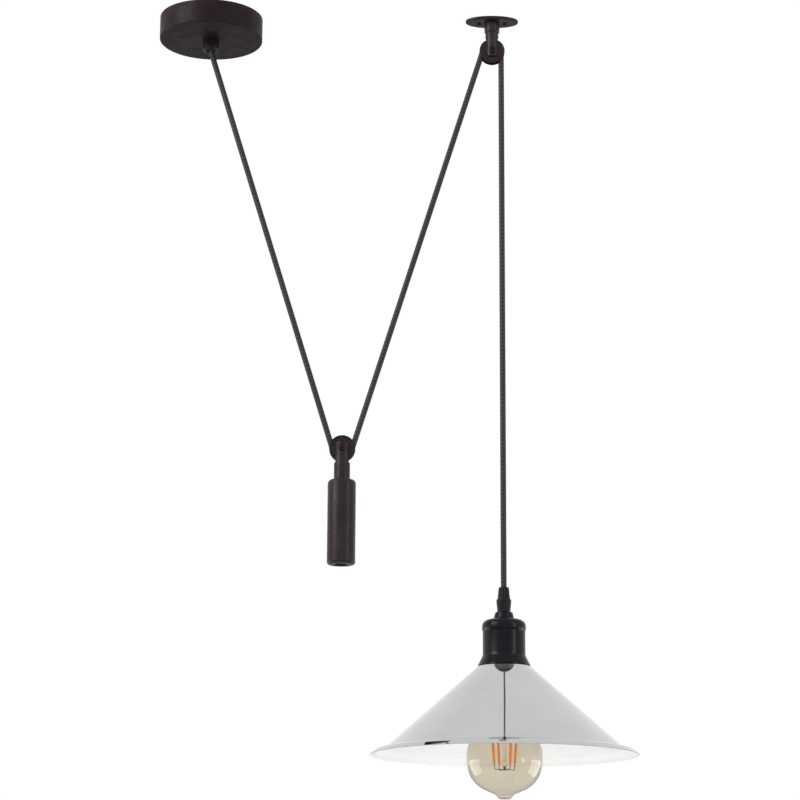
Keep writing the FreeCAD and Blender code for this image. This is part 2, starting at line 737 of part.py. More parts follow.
def weight_fork():
    """Turned rod standing on the weight, slotted from above for the lower sheave."""
    foot = -WEIGHT_BELOW_AXLE + SEAT_GAP
    body = turned([
        (0, foot), (WEIGHT_FORK_R, foot, 0.5), (WEIGHT_FORK_R, CHEEK_REACH, CHEEK_ROUND), (0, CHEEK_REACH),
    ])
    stud_hole = rod(STUD_R + SEAT_GAP, V(0, 0, foot), V(0, 0, foot + STUD_IN_FORK + RUNNING_GAP))
    cuts = fork_cuts(WEIGHT_FORK_R, CHEEK_REACH + 1, -SHEAVE_R - SLOT_CLEARANCE)
    return moved(body.cut(cuts + [stud_hole]), WEIGHT_X, 0, WEIGHT_AXLE_Z)


def weight_stud():
    """Threaded stud that joins the fork to the weight."""
    top = STUD_IN_FORK
    foot = -STUD_IN_WEIGHT
    stud = turned([(0, top), (STUD_R, top, 0.6), (STUD_R, foot, 0.6), (0, foot)])
    return moved(stud, WEIGHT_X, 0, WEIGHT_AXLE_Z - WEIGHT_BELOW_AXLE)


def counterweight():
    """Turned steel bar with rounded shoulders and a shallow recess underneath."""
    foot = -WEIGHT_LENGTH
    recess = foot + WEIGHT_RECESS_DEPTH
    hole_r = STUD_R + SEAT_GAP
    hole_foot = -STUD_IN_WEIGHT - RUNNING_GAP
    bar = turned([
        (hole_r, 0), (WEIGHT_R, 0, WEIGHT_TOP_ROUND), (WEIGHT_R, foot, WEIGHT_BOTTOM_ROUND),
        (WEIGHT_RECESS_R, foot), (WEIGHT_RECESS_R - 1.0, recess, 0.6), (0, recess),
        (0, hole_foot), (hole_r, hole_foot),
    ])
    return moved(bar, WEIGHT_X, 0, WEIGHT_AXLE_Z - WEIGHT_BELOW_AXLE)


# ---- Flex ----

def left_tangent():
    return V(WEIGHT_X - PITCH_R * math.cos(LEAN), 0, WEIGHT_AXLE_Z - PITCH_R * math.sin(LEAN))


def right_tangent():
    return V(WEIGHT_X + PITCH_R * math.cos(LEAN), 0, WEIGHT_AXLE_Z - PITCH_R * math.sin(LEAN))


def upper_tangent():
    return V(PULLEY_X - PITCH_R * math.cos(LEAN), 0, PULLEY_AXLE_Z + PITCH_R * math.sin(LEAN))


def wrap(centre_x, centre_z, start, end):
    """An arc of the flex's centre line round a sheave, between two angles from +X towards +Z."""
    places = []
    for angle in (start, (start + end) / 2, end):
        places.append(V(centre_x + PITCH_R * math.cos(angle), 0, centre_z + PITCH_R * math.sin(angle)))
    return Part.Arc(*places).toShape()


def flex_left_leg():
    """From inside the canopy, out of its grip and down to the bottom of the lower sheave."""
    points = [V(0, 0, FLEX_TAIL_Z), V(0, 0, BEND_Z), left_tangent()]
    radii = bend_radii(points)
    print("bend at the canopy grip", round(radii[1], 1))
    print("wrap on both sheaves", round(PITCH_R, 2))
    edges = rounded_edges(points, radii, False)
    edges.append(wrap(WEIGHT_X, WEIGHT_AXLE_Z, math.pi + LEAN, 1.5 * math.pi))
    return tube_along(edges, FLEX_R)


def flex_right_leg():
    """From the bottom of the lower sheave up to the top of the ceiling sheave."""
    edges = [
        wrap(WEIGHT_X, WEIGHT_AXLE_Z, 1.5 * math.pi, 2 * math.pi - LEAN),
        Part.LineSegment(right_tangent(), upper_tangent()).toShape(),
        wrap(PULLEY_X, PULLEY_AXLE_Z, math.pi - LEAN, math.pi / 2),
    ]
    return tube_along(edges, FLEX_R)


def flex_drop():
    """From the top of the ceiling sheave down into the lampholder."""
    side = V(DROP_X, 0, PULLEY_AXLE_Z)
    edges = [
        wrap(PULLEY_X, PULLEY_AXLE_Z, math.pi / 2, 0),
        Part.LineSegment(side, V(DROP_X, 0, CUP_TOP_Z - FLEX_END_DROP)).toShape(),
    ]
    return tube_along(edges, FLEX_R)


# ---- Lamp: cord grip, cup and lampholder ----

def fluted(shape, foot_r, foot, top_r, top):
    """Cuts upright grip flutes into a tapered ring."""
    groove = rod(FLUTE_R, V(foot_r + FLUTE_R / 3, 0, foot), V(top_r + FLUTE_R / 3, 0, top))
    return shape.cut(around(groove, FLUTE_COUNT))


def lamp_grip_cap():
    """Screw cap of the lamp's cord grip, squeezing the collet on the flex."""
    foot = LAMP_GRIP_BASE_T + SEAT_GAP
    top = foot + LAMP_GRIP_CAP_T
    inside = LAMP_GRIP_SPIGOT_R + SEAT_GAP
    roof = foot + LAMP_GRIP_SPIGOT_T + COLLET_T + 2 * SEAT_GAP
    cap = turned([
        (inside, foot), (LAMP_GRIP_CAP_FOOT_R, foot, 0.3), (LAMP_GRIP_CAP_TOP_R, top, 0.8), (BORE_R, top),
        (BORE_R, roof), (inside, roof),
    ])
    cap = fluted(cap, LAMP_GRIP_CAP_FOOT_R, foot + 1.5, LAMP_GRIP_CAP_TOP_R, top - 2.0)
    return in_lamp(cap)


def lamp_grip_collet():
    """Slit ring round the flex, under the cap."""
    foot = LAMP_GRIP_BASE_T + LAMP_GRIP_SPIGOT_T + 2 * SEAT_GAP
    ring = turned([
        (FLEX_R + SEAT_GAP, foot), (LAMP_GRIP_SPIGOT_R, foot), (LAMP_GRIP_SPIGOT_R, foot + COLLET_T),
        (FLEX_R + SEAT_GAP, foot + COLLET_T),
    ])
    slit = box((0, LAMP_GRIP_SPIGOT_R + 1), (-COLLET_SLIT / 2, COLLET_SLIT / 2), (foot + 0.8, foot + COLLET_T))
    return in_lamp(ring.cut(around(slit, 4)))


def lamp_grip_base():
    """Lower part of the grip, screwed on the hollow nipple, with the cap's spigot on top."""
    top = LAMP_GRIP_BASE_T
    spigot_top = top + LAMP_GRIP_SPIGOT_T
    nipple_r = NIPPLE_R + SEAT_GAP
    base = turned([
        (nipple_r, SEAT_GAP), (LAMP_GRIP_BASE_FOOT_R, SEAT_GAP, 0.3), (LAMP_GRIP_BASE_TOP_R, top - 1.6, 0.5),
        (LAMP_GRIP_BASE_TOP_R - 0.7, top, 0.4), (LAMP_GRIP_SPIGOT_R, top), (LAMP_GRIP_SPIGOT_R, spigot_top),
        (BORE_R, spigot_top), (BORE_R, NIPPLE_UP + SEAT_GAP), (nipple_r, NIPPLE_UP + SEAT_GAP),
    ])
    base = fluted(base, LAMP_GRIP_BASE_FOOT_R, 1.6, LAMP_GRIP_BASE_TOP_R, top - 3.2)
    return in_lamp(base)


def hollow_nipple():
    """Threaded tube that clamps grip, cup and lampholder together and lets the flex through."""
    return in_lamp(turned([
        (NIPPLE_BORE_R, NIPPLE_UP), (NIPPLE_R, NIPPLE_UP), (NIPPLE_R, -NIPPLE_DOWN),
        (NIPPLE_BORE_R, -NIPPLE_DOWN),
    ]))


def lamp_cup():
    """Spun cup: neck, broad shoulder with a bead, straight barrel and a skirt flared onto the shade."""
    shoulder = CUP_NECK_T + 1.4
    return in_lamp(turned(sheet([
        (NIPPLE_R + SEAT_GAP, 0), (CUP_NECK_R, 0, 1.6), (CUP_NECK_FOOT_R, -CUP_NECK_T, 2.0),
        (CUP_BEAD_R, -shoulder, 6.5), (CUP_BEAD_R, -CUP_BEAD_DROP, 1.3),
        (CUP_BARREL_R, -CUP_BEAD_DROP - 2.2, 1.3), (CUP_BARREL_R, -CUP_FLARE_DROP, 8.0),
        (CUP_SKIRT_R, -CUP_HEIGHT),
    ], CUP_WALL)))


def lampholder_dome():
    """Lampholder's cap, screwed on the nipple up against the cup."""
    top = -HOLDER_TOP_DROP
    foot = -HOLDER_SPLIT_DROP
    inner = HOLDER_R - HOLDER_WALL
    shoulder = top - 8.5
    return in_lamp(turned([
        (NIPPLE_R + SEAT_GAP, top), (HOLDER_BOSS_R, top, 0.6), (HOLDER_BOSS_R, top - 3.0, 0.8),
        (HOLDER_R, shoulder, 5.0), (HOLDER_R, foot), (inner, foot), (inner, shoulder - 1.2, 1.0),
        (HOLDER_ROOF_R, top - HOLDER_BOSS_T), (NIPPLE_R + SEAT_GAP, top - HOLDER_BOSS_T),
    ]))


def earth_tag():
    """Ring and lug under the dome's boss that earths the metalwork."""
    top = -HOLDER_TOP_DROP - HOLDER_BOSS_T - SEAT_GAP
    low = top - EARTH_TAG_T
    ring = rod(EARTH_TAG_R, V(0, 0, low), V(0, 0, top))
    half = EARTH_TAG_WIDTH / 2
    lug = box((-half, half), (0, EARTH_TAG_REACH), (low, top))
    hole = rod(NIPPLE_R + SEAT_GAP, V(0, 0, low), V(0, 0, top))
    return in_lamp(ring.fuse(lug).cut(hole).removeSplitter())


def nipple_nut():
    """Locks the tag and the dome on the nipple."""
    top = -HOLDER_TOP_DROP - HOLDER_BOSS_T - 2 * SEAT_GAP - EARTH_TAG_T
    nut = hex_nut(NIPPLE_NUT_AF, NIPPLE_NUT_T, NIPPLE_R + SEAT_GAP)
    return in_lamp(moved(nut, 0, 0, top - NIPPLE_NUT_T))


def lampholder_body():
    """Lampholder's sleeve: threaded outside for the shade ring, with a ledge under the contact block."""
    top = -HOLDER_SPLIT_DROP - SEAT_GAP
    foot = -HOLDER_MOUTH_DROP
    inner = HOLDER_R - HOLDER_WALL
    ledge = -BLOCK_FOOT_DROP - SEAT_GAP
    return in_lamp(turned([
        (HOLDER_R, top), (HOLDER_R, foot, 0.8), (HOLDER_LIP_R, foot, 0.4), (HOLDER_LIP_R, foot + HOLDER_LIP_T),
        (inner, foot + HOLDER_LIP_T + 1.0), (inner, ledge - HOLDER_LEDGE_T - 1.0),
        (HOLDER_LEDGE_R, ledge - HOLDER_LEDGE_T), (HOLDER_LEDGE_R, ledge), (inner, ledge), (inner, top),
    ]))


def contact_block():
    """Ceramic disc that carries the contacts."""
    radius = HOLDER_R - HOLDER_WALL - RUNNING_GAP / 2
    foot = -BLOCK_FOOT_DROP
    disc = turned([(0, -BLOCK_TOP_DROP), (radius, -BLOCK_TOP_DROP, 0.8), (radius, foot, 0.8), (0, foot)])
    posts = [
        rod(TERMINAL_POST_R + SEAT_GAP, V(x, 0, foot), V(x, 0, -BLOCK_TOP_DROP))
        for x in (LIVE_POST_X, NEUTRAL_POST_X)
    ]
    return in_lamp(disc.cut(posts))


def screw_shell():
    """Brass shell that the bulb's cap screws into."""
    top = -BLOCK_FOOT_DROP - SEAT_GAP
    line = [(SHELL_HOLE_R, top), (SHELL_R, top, 1.0), (SHELL_R, top - SHELL_LENGTH)]
    return in_lamp(turned(sheet(line, SHELL_WALL)))


def centre_contact():
    """Sprung strip bent back under its foot, pressing on the bulb's contact."""
    foot_z = -BLOCK_FOOT_DROP - SEAT_GAP
    leaf_z = -BULB_TOP_DROP + CONTACT_T + SEAT_GAP
    strip = flat_face(sheet([
        (CONTACT_LEFT_X, foot_z), (CONTACT_RIGHT_X, foot_z, 1.2), (CONTACT_LEAF_X, leaf_z, 1.6),
        (-CONTACT_LEAF_X, leaf_z),
    ], CONTACT_T)).extrude(V(0, CONTACT_WIDTH, 0))
    return in_lamp(moved(strip, 0, -CONTACT_WIDTH / 2, 0))


def terminal(side, post_x):
    """Brass block on the ceramic, a post down to its contact, and a hole for the conductor."""
    foot = -BLOCK_TOP_DROP + SEAT_GAP
    top = foot + TERMINAL_T
    middle = side * TERMINAL_X
    half = TERMINAL_LENGTH / 2
    body = box((middle - half, middle + half), (-TERMINAL_WIDTH / 2, TERMINAL_WIDTH / 2), (foot, top))
    post = rod(TERMINAL_POST_R, V(post_x, 0, -BLOCK_FOOT_DROP), V(post_x, 0, foot))
    wire_hole = rod(CORE_D / 2 + SEAT_GAP, V(middle, 0, top - TERMINAL_T / 2), V(middle, 0, top))
    screw_z = foot + TERMINAL_T * 0.65
    screw_hole = rod(TERMINAL_SCREW_R + SEAT_GAP, V(middle, -TERMINAL_WIDTH, screw_z), V(middle, -1.2, screw_z))
    return body.fuse(post).cut([wire_hole, screw_hole])


def lampholder_terminals():
    live = terminal(-1, LIVE_POST_X)
    neutral = terminal(1, NEUTRAL_POST_X)
    return in_lamp(Part.makeCompound([live, neutral]))


def lampholder_terminal_screws():
    """A clamp screw in the front of each terminal."""
    z = -BLOCK_TOP_DROP + SEAT_GAP + TERMINAL_T * 0.65
    face = -TERMINAL_WIDTH / 2 - SEAT_GAP
    tip = -CORE_D / 2 - 2 * SEAT_GAP - 0.3
    screws = []
    for x in (-TERMINAL_X, TERMINAL_X):
        shank = rod(TERMINAL_SCREW_R, V(x, face, z), V(x, tip, z))
        head = rod(TERMINAL_SCREW_HEAD_R, V(x, face - TERMINAL_SCREW_HEAD_T, z), V(x, face, z))
        slot = box((x - 2.3, x + 2.3), (face - TERMINAL_SCREW_HEAD_T, face - 0.6), (z - 0.3, z + 0.3))
        screws.append(shank.fuse(head).cut(slot))
    return in_lamp(Part.makeCompound(screws))


def lamp_conductor(angle, side):
    """From the flex's end to a terminal."""
    start = core_place(angle, -FLEX_END_DROP - SEAT_GAP)
    terminal_top = -BLOCK_TOP_DROP + TERMINAL_T
    clear = V(start.x, start.y, start.z - 3.6)
    above = V(side * TERMINAL_X, 0, terminal_top + 3.6)
    end = V(side * TERMINAL_X, 0, terminal_top - TERMINAL_T / 2 + 4 * SEAT_GAP)
    return in_lamp(conductor([start, clear, above, end]))


def lamp_live_wire():
    return lamp_conductor(210, -1)


def lamp_neutral_wire():
    return lamp_conductor(330, 1)


def lamp_earth_wire():
    """Turns back up from the flex's end to the earth tag's lug."""
    start = core_place(90, -FLEX_END_DROP - SEAT_GAP)
    low = start.z - 5.0
    lug_y = EARTH_TAG_REACH - EARTH_TAG_WIDTH / 2
    lug_z = -HOLDER_TOP_DROP - HOLDER_BOSS_T - 2 * SEAT_GAP - EARTH_TAG_T
    points = [start, V(start.x, start.y, low), V(start.x, lug_y, low), V(start.x, lug_y, lug_z)]
    return in_lamp(conductor(points))


# ---- Lamp: shade and ring ----

def shade():
    """Spun cone with a flat collar at the top and a rolled-out rim."""
    cone_foot = SHADE_TOP - SHADE_CONE_DROP
    return in_lamp(turned(sheet([
        (SHADE_HOLE_R, SHADE_TOP), (SHADE_COLLAR_R, SHADE_TOP, 1.6), (SHADE_CONE_R, cone_foot, 2.5),
        (SHADE_RIM_SHOULDER_R, cone_foot - SHADE_RIM_SHOULDER_DROP, SHADE_RIM_ROUND),
        (SHADE_R, cone_foot - SHADE_RIM_DROP),
    ], SHADE_WALL)))


def shade_ring():
    """Ring on the lampholder's thread that clamps the shade up against the cup."""
    bore = HOLDER_R + SEAT_GAP
    flange = RING_TOP - RING_T + RING_FLANGE_T
    foot = RING_TOP - RING_T
    ring = turned([
        (bore, RING_TOP), (RING_NECK_R, RING_TOP), (RING_NECK_R, flange, 0.8), (RING_R, flange, 0.5),
        (RING_R, foot, 0.5), (bore, foot),
    ])
    notch = rod(RING_NOTCH_R, V(RING_R + RING_NOTCH_R / 2, 0, foot), V(RING_R + RING_NOTCH_R / 2, 0, flange))
    return in_lamp(ring.cut(around(notch, RING_NOTCH_COUNT)))


# ---- Lamp: bulb ----

def bulb_contact():
    """Metal button at the end of the bulb's cap."""
    top = -BULB_TOP_DROP
    low = top - BULB_CONTACT_T
    pin_r = BULB_CONTACT_R / 2
    return in_lamp(turned([
        (0, top), (BULB_CONTACT_R, top, 0.4), (BULB_CONTACT_R, low), (pin_r, low), (pin_r, low - 2.0),
        (0, low - 2.0),
    ]))


def bulb_cap_insulator():
    """Black glass between the contact and the cap."""
    top = -BULB_TOP_DROP - BULB_CONTACT_T - SEAT_GAP
    hole = BULB_CONTACT_R / 2 + SEAT_GAP
    return in_lamp(turned([
        (hole, top), (BULB_CONTACT_R + 0.3, top), (BULB_INSULATOR_R, top - BULB_INSULATOR_T / 2),
        (BULB_INSULATOR_R, top - BULB_INSULATOR_T), (hole, top - BULB_INSULATOR_T),
    ]))


def bulb_cap_top():
    return -BULB_TOP_DROP - BULB_CONTACT_T - BULB_INSULATOR_T / 2


def bulb_cap():
    """Thin metal cap that screws into the shell."""
    top = bulb_cap_top()
    foot = top - BULB_CAP_LENGTH
    return in_lamp(turned(sheet([
        (BULB_INSULATOR_R + SEAT_GAP + BULB_CAP_WALL, top), (BULB_CAP_R, top - 3.0, 1.2), (BULB_CAP_R, foot + 2.0, 2.0),
        (BULB_CAP_R + 0.5, foot),
    ], BULB_CAP_WALL)))


def bulb_glass():
    """Blown globe with a neck inside the cap and a drawn pip at the bottom."""
    tip = -BULB_TIP_DROP
    equator = tip + BULB_EQUATOR_UP
    cap_foot = bulb_cap_top() - BULB_CAP_LENGTH
    return in_lamp(turned(sheet([
        (BULB_NECK_R, cap_foot + 11.0), (BULB_NECK_R, cap_foot - 0.6, 8.0), (BULB_THROAT_R, tip + BULB_THROAT_UP, 14.0), (BULB_R, equator + 22.0, 34.0),
        (BULB_R, equator - 20.7, 30.0), (9.0, tip + 4.4, 5.0), (5.4, tip, 3.4), (0, tip),
    ], BULB_GLASS_WALL)))


def bulb_stem():
    """Glass stem: a flare sealed in the neck, drawn down to a rod that carries the filaments."""
    foot = -BULB_TIP_DROP + BULB_STEM_END_UP
    top = bulb_cap_top() - BULB_CAP_LENGTH + 8.0
    return in_lamp(turned([
        (0, top), (BULB_STEM_FLARE_R, top), (BULB_STEM_FLARE_R, top - 1.2), (4.2, top - 11.0, 6.0),
        (4.2, top - 20.0, 1.5), (BULB_STEM_R, top - 24.0, 3.0), (BULB_STEM_R, foot, 1.0), (0, foot),
    ]))


def filament_ends():
    """Foot and top of a filament in the XZ plane."""
    foot_z = -BULB_TIP_DROP + FILAMENT_FOOT_UP
    lean = FILAMENT_TOP_R - FILAMENT_FOOT_R
    height = math.sqrt(FILAMENT_LENGTH ** 2 - lean ** 2)
    return V(FILAMENT_FOOT_R, 0, foot_z), V(FILAMENT_TOP_R, 0, foot_z + height)


def bulb_filaments():
    """Coated strips standing in a ring, closer together at the bottom."""
    foot, top = filament_ends()
    return in_lamp(Part.makeCompound(around(rod(FILAMENT_R, foot, top), FILAMENT_COUNT, FILAMENT_TURN)))


def bulb_support_wires():
    """Bent wires that hold the filaments to the stem, in one frame below and one above."""
    foot, top = filament_ends()
    seat = V(0, 0, SEAT_GAP)
    below = [foot - seat, foot - V(0, 0, WIRE_REACH), V(0, 0, foot.z - WIRE_REACH)]
    above = [top + seat, top + V(0, 0, WIRE_REACH), V(BULB_STEM_R + SEAT_GAP, 0, top.z + WIRE_REACH)]
    frames = []
    for points in (below, above):
        wire = tube_along(rounded_edges(points, [0, 1.0, 0], False), WIRE_R)
        frames.append(around(wire, FILAMENT_COUNT, FILAMENT_TURN))
    hub = rod(1.4, V(0, 0, foot.z - WIRE_REACH - 0.6), V(0, 0, -BULB_TIP_DROP + BULB_STEM_END_UP - SEAT_GAP))
    lower = hub.fuse(frames[0]).removeSplitter()
    return in_lamp(Part.makeCompound([lower] + frames[1]))


PIECES = [
    ceiling_bracket, canopy_cup, canopy_side_screws, canopy_grip_body, canopy_grip_nut, canopy_grip_screw,
    terminal_block, terminal_barrels, terminal_screws, terminal_block_screw, canopy_live_wire,
    canopy_neutral_wire, canopy_earth_wire, pulley_plate, pulley_plate_screw, pulley_hanger,
    hanger_axle_bolt, hanger_axle_nut, ceiling_sheave_wheel, ceiling_sheave_bush, weight_sheave_wheel,
    weight_sheave_bush, weight_axle_bolt, weight_axle_nut, weight_fork, weight_stud, counterweight,
    flex_left_leg, flex_right_leg, flex_drop, lamp_grip_cap, lamp_grip_collet, lamp_grip_base,
    hollow_nipple, lamp_cup, lampholder_dome, earth_tag, nipple_nut, lampholder_body, contact_block,
    screw_shell, centre_contact, lampholder_terminals, lampholder_terminal_screws, lamp_live_wire,
    lamp_neutral_wire, lamp_earth_wire, shade, shade_ring, bulb_contact, bulb_cap_insulator, bulb_cap,
    bulb_glass, bulb_stem, bulb_filaments, bulb_support_wires,
]

os.makedirs("parts", exist_ok=True)
for piece in PIECES:
    shape = piece()
    if not shape.isValid() or any(solid.Volume <= 0 for solid in shape.Solids):
        print("not a sound solid:", piece.__name__)
    print(piece.__name__, len(shape.Solids), round(shape.Volume, 1))
    shape.exportStep(f"parts/{piece.__name__}.step")
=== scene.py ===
"""Rise and fall pendant: the finished surfaces, built over the fixed frame of the part."""

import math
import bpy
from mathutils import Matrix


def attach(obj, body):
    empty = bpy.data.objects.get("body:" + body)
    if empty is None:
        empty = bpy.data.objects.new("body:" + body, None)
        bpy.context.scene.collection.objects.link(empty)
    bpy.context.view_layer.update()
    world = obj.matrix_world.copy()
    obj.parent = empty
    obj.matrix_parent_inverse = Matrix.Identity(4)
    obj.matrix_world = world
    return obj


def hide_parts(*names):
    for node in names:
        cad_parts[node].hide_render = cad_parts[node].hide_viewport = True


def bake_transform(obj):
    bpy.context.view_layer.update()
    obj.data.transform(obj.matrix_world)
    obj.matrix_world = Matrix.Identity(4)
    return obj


bl_info = {
    "name": "Rise and fall pendant",
    "version": (1, 0, 0),
    "blender": (4, 5, 0),
    "location": "View3D > Sidebar > Pendant",
    "description": "Builds the canopy, pulleys, counterweight, flex and lamp, and the studio round them",
    "category": "Object",
}

import bmesh
import bpy
from bpy.props import FloatProperty, FloatVectorProperty, PointerProperty
from mathutils import Matrix, Vector

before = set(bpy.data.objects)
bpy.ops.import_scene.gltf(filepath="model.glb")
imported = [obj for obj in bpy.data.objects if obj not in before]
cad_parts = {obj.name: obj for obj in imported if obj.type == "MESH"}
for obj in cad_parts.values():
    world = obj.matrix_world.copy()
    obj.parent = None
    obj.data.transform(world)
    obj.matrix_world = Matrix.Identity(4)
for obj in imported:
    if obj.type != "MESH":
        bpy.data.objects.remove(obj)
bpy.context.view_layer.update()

MM = 0.001
FULL_TURN = 2 * math.pi
ROUND_TURNS = 144           # sides of a large turned piece
SMALL_TURNS = 64
ARC_STEP = math.radians(6)
SHARP_EDGE = math.radians(38)

# Where the pieces hang, millimetres from the canopy's centre on the ceiling
CEILING_AXLE = (291.0, 0.0, -34.5)
WEIGHT_AXLE = (140.5, 0.0, -455.5)
LAMP_TOP = (300.4, 0.0, -618.4)
FLEX_BORE_R = 3.2           # bores that the flex passes through


# ---- Sizes and colours a user may change ----

def length(name, description, metres):
    return FloatProperty(name=name, description=description, default=metres, min=0.0, unit="LENGTH")


def colour(name, description, rgb):
    return FloatVectorProperty(
        name=name, description=description, default=rgb, size=3, subtype="COLOR", min=0.0, max=1.0,
    )


class PendantSizes(bpy.types.PropertyGroup):
    """Main sizes of the visible pieces."""

    canopy_r: length("Canopy radius", "Outer radius of the round cover on the ceiling", 0.053)
    canopy_height: length("Canopy height", "Height of the round cover", 0.024)
    sheave_r: length("Sheave radius", "Outer radius of both pulley wheels", 0.013)
    weight_r: length("Counterweight radius", "Radius of the hanging bar", 0.014)
    weight_length: length("Counterweight length", "Length of the hanging bar", 0.085)
    flex_d: length("Flex diameter", "Thickness of the braided flex", 0.0058)
    shade_r: length("Shade radius", "Radius of the shade at its rolled rim", 0.130)
    shade_wall: length("Shade wall", "Thickness of the spun shade", 0.0006)
    bulb_r: length("Bulb radius", "Radius of the globe", 0.0369)
    filament_r: length("Filament radius", "Radius of a coated filament stick", 0.0013)


class PendantColours(bpy.types.PropertyGroup):
    """Colours of the finishes."""

    paint: colour("Dark paint", "Brown-black paint of the canopy, pulleys and weight", (0.0150, 0.0082, 0.0088))
    paint_worn: colour("Dark paint, worn", "Where hands have rubbed the paint", (0.029, 0.0185, 0.019))
    cup: colour("Cup lacquer", "Blue-black lacquer on the lamp's cup", (0.003, 0.0037, 0.0057))
    chrome: colour("Chrome", "Plated outside of the shade", (0.55, 0.556, 0.554))
    enamel: colour("Shade enamel", "White inside of the shade", (0.86, 0.86, 0.85))
    braid_dark: colour("Braid, dark yarn", "Main yarn of the flex's braid", (0.012, 0.012, 0.013))
    # painted highlight: a lighter colour put on the yarn's crowns where they would catch the light
    braid_crown_highlight: colour("Braid, light yarn", "Where the yarn's crown catches the light", (0.06, 0.06, 0.062))
    black: colour("Black plastic", "Cord grips and lampholder", (0.0065, 0.006, 0.006))
    amber: colour("Amber glass", "Tint of the bulb's glass", (0.81, 0.765, 0.675))
    # also the colour of the filaments' painted glow
    filament: colour("Filament coat", "Coating on the filament sticks", (0.86, 0.26, 0.004))
    brass: colour("Brass", "Bushes, contacts and screw shell", (0.70, 0.52, 0.24))
    steel: colour("Steel", "Bare zinc-plated steel", (0.56, 0.56, 0.54))
    white: colour("White parts", "Nylon and ceramic parts", (0.78, 0.77, 0.72))
    floor: colour("Floor", "Pale studio floor", (0.88, 0.88, 0.88))


def sizes():
    return bpy.context.scene.pendant_sizes


def colours():
    return bpy.context.scene.pendant_colours


# ---- Outlines: corners (radius, height, optional rounding) in millimetres ----

def rounded(corners, closed):
    """The outline with a fine arc at every corner that has a rounding."""
    points = []
    count = len(corners)
    for i, corner in enumerate(corners):
        place = Vector(corner[:2])
        rounding = corner[2] if len(corner) > 2 else 0
        at_end = not closed and i in (0, count - 1)
        if rounding <= 0 or at_end:
            points.append(place)
            continue
        back = (Vector(corners[i - 1][:2]) - place).normalized()
        ahead = (Vector(corners[(i + 1) % count][:2]) - place).normalized()
        half_turn = (math.pi - back.angle(ahead)) / 2
        reach = rounding * math.tan(half_turn)
        middle = place + (back + ahead).normalized() * (rounding / math.cos(half_turn))
        first = place + back * reach - middle
        last = place + ahead * reach - middle
        sweep = math.atan2(first.x * last.y - first.y * last.x, first.dot(last))
        steps = max(3, math.ceil(abs(sweep) / ARC_STEP))
        for k in range(steps + 1):
            turn = Matrix.Rotation(sweep * k / steps, 2)
            points.append(middle + turn @ first)
    kept = [points[0]]
    for point in points[1:]:
        if (point - kept[-1]).length > 1e-4:
            kept.append(point)
    return kept


def sheet_sides(corners, wall):
    """Outer and inner outline of sheet metal: the given line, and its copy one wall to the right."""
    flat = [Vector(corner[:2]) for corner in corners]
    roundings = [corner[2] if len(corner) > 2 else 0 for corner in corners]
    ways = [(b - a).normalized() for a, b in zip(flat, flat[1:])]
    inside = []
    for i, point in enumerate(flat):
        before = ways[max(i - 1, 0)]
        after = ways[min(i, len(ways) - 1)]
        share = wall / (1 + before.dot(after))
        turn = before.x * after.y - before.y * after.x
        rounding = 0 if roundings[i] == 0 else roundings[i] + (wall if turn > 0 else -wall)
        offset = Vector((before.y + after.y, -before.x - after.x)) * share
        inside.append((point.x + offset.x, point.y + offset.y, max(rounding, 0)))
    return rounded(corners, False), rounded(inside, False)


# ---- Meshes ----

def new_piece(name, mesh, body, finishes, replaced):
    """Puts a finished mesh in the scene on its body, in place of the part's own nodes."""
    for finish in finishes:
        mesh.materials.append(finish)
    piece = bpy.data.objects.new(name, mesh)
    bpy.context.scene.collection.objects.link(piece)
    if body:
        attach(piece, body)
    if replaced:
        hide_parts(*replaced)
    return piece


def settled(mesh, place=None):
    """Faces outward, smooth but for true edges, moved to its place."""
    work = bmesh.new()
    work.from_mesh(mesh)
    bmesh.ops.remove_doubles(work, verts=work.verts, dist=1e-7)
    bmesh.ops.recalc_face_normals(work, faces=work.faces)
    work.to_mesh(mesh)
    work.free()
    if place is not None:
        mesh.transform(place)
    mesh.shade_smooth()
    mesh.set_sharp_from_angle(angle=SHARP_EDGE)
    return mesh


def turned(name, outline, turns=SMALL_TURNS, finish_of=None, swell=None):
    """A lathe mesh about Z from an outline in millimetres, with a map of turn and run in metres."""
    vertices = []
    rings = []
    for point in outline:
        if point[0] < 1e-4:
            rings.append([len(vertices)] * turns)
            vertices.append((0, 0, point[1] * MM))
            continue
        first = len(vertices)
        for k in range(turns):
            angle = FULL_TURN * k / turns
            radius = point[0] + (swell(angle, point) if swell else 0)
            vertices.append((radius * math.cos(angle) * MM, radius * math.sin(angle) * MM, point[1] * MM))
        rings.append(list(range(first, first + turns)))
    runs = [0.0]
    for a, b in zip(outline, outline[1:] + outline[:1]):
        runs.append(runs[-1] + math.dist(a[:2], b[:2]) * MM)
    faces, places, marks = [], [], []
    for i in range(len(outline)):
        low, high = rings[i], rings[(i + 1) % len(outline)]
        if low[0] == low[-1] and high[0] == high[-1]:
            continue
        for k in range(turns):
            following = (k + 1) % turns
            u, v = k / turns, (k + 1) / turns
            corners = [(low[k], (u, runs[i])), (low[following], (v, runs[i])),
                       (high[following], (v, runs[i + 1])), (high[k], (u, runs[i + 1]))]
            kept = []
            for corner in corners:
                if corner[0] not in [c[0] for c in kept]:
                    kept.append(corner)
            faces.append([c[0] for c in kept])
            places.extend(c[1] for c in kept)
            marks.append(finish_of(i) if finish_of else 0)
    mesh = bpy.data.meshes.new(name)
    mesh.from_pydata(vertices, [], faces)
    layer = mesh.uv_layers.new(name="turn_and_run")
    for item, place in zip(layer.data, places):
        item.uv = place
    mesh.polygons.foreach_set("material_index", marks)
    return mesh


def at(place):
    return Matrix.Translation(Vector(place) * MM)


def on_axle(place):
    """A shape made about Z is laid along Y, its top to the front."""
    return at(place) @ Matrix.Rotation(math.radians(90), 4, "X")


# ---- Finishes ----

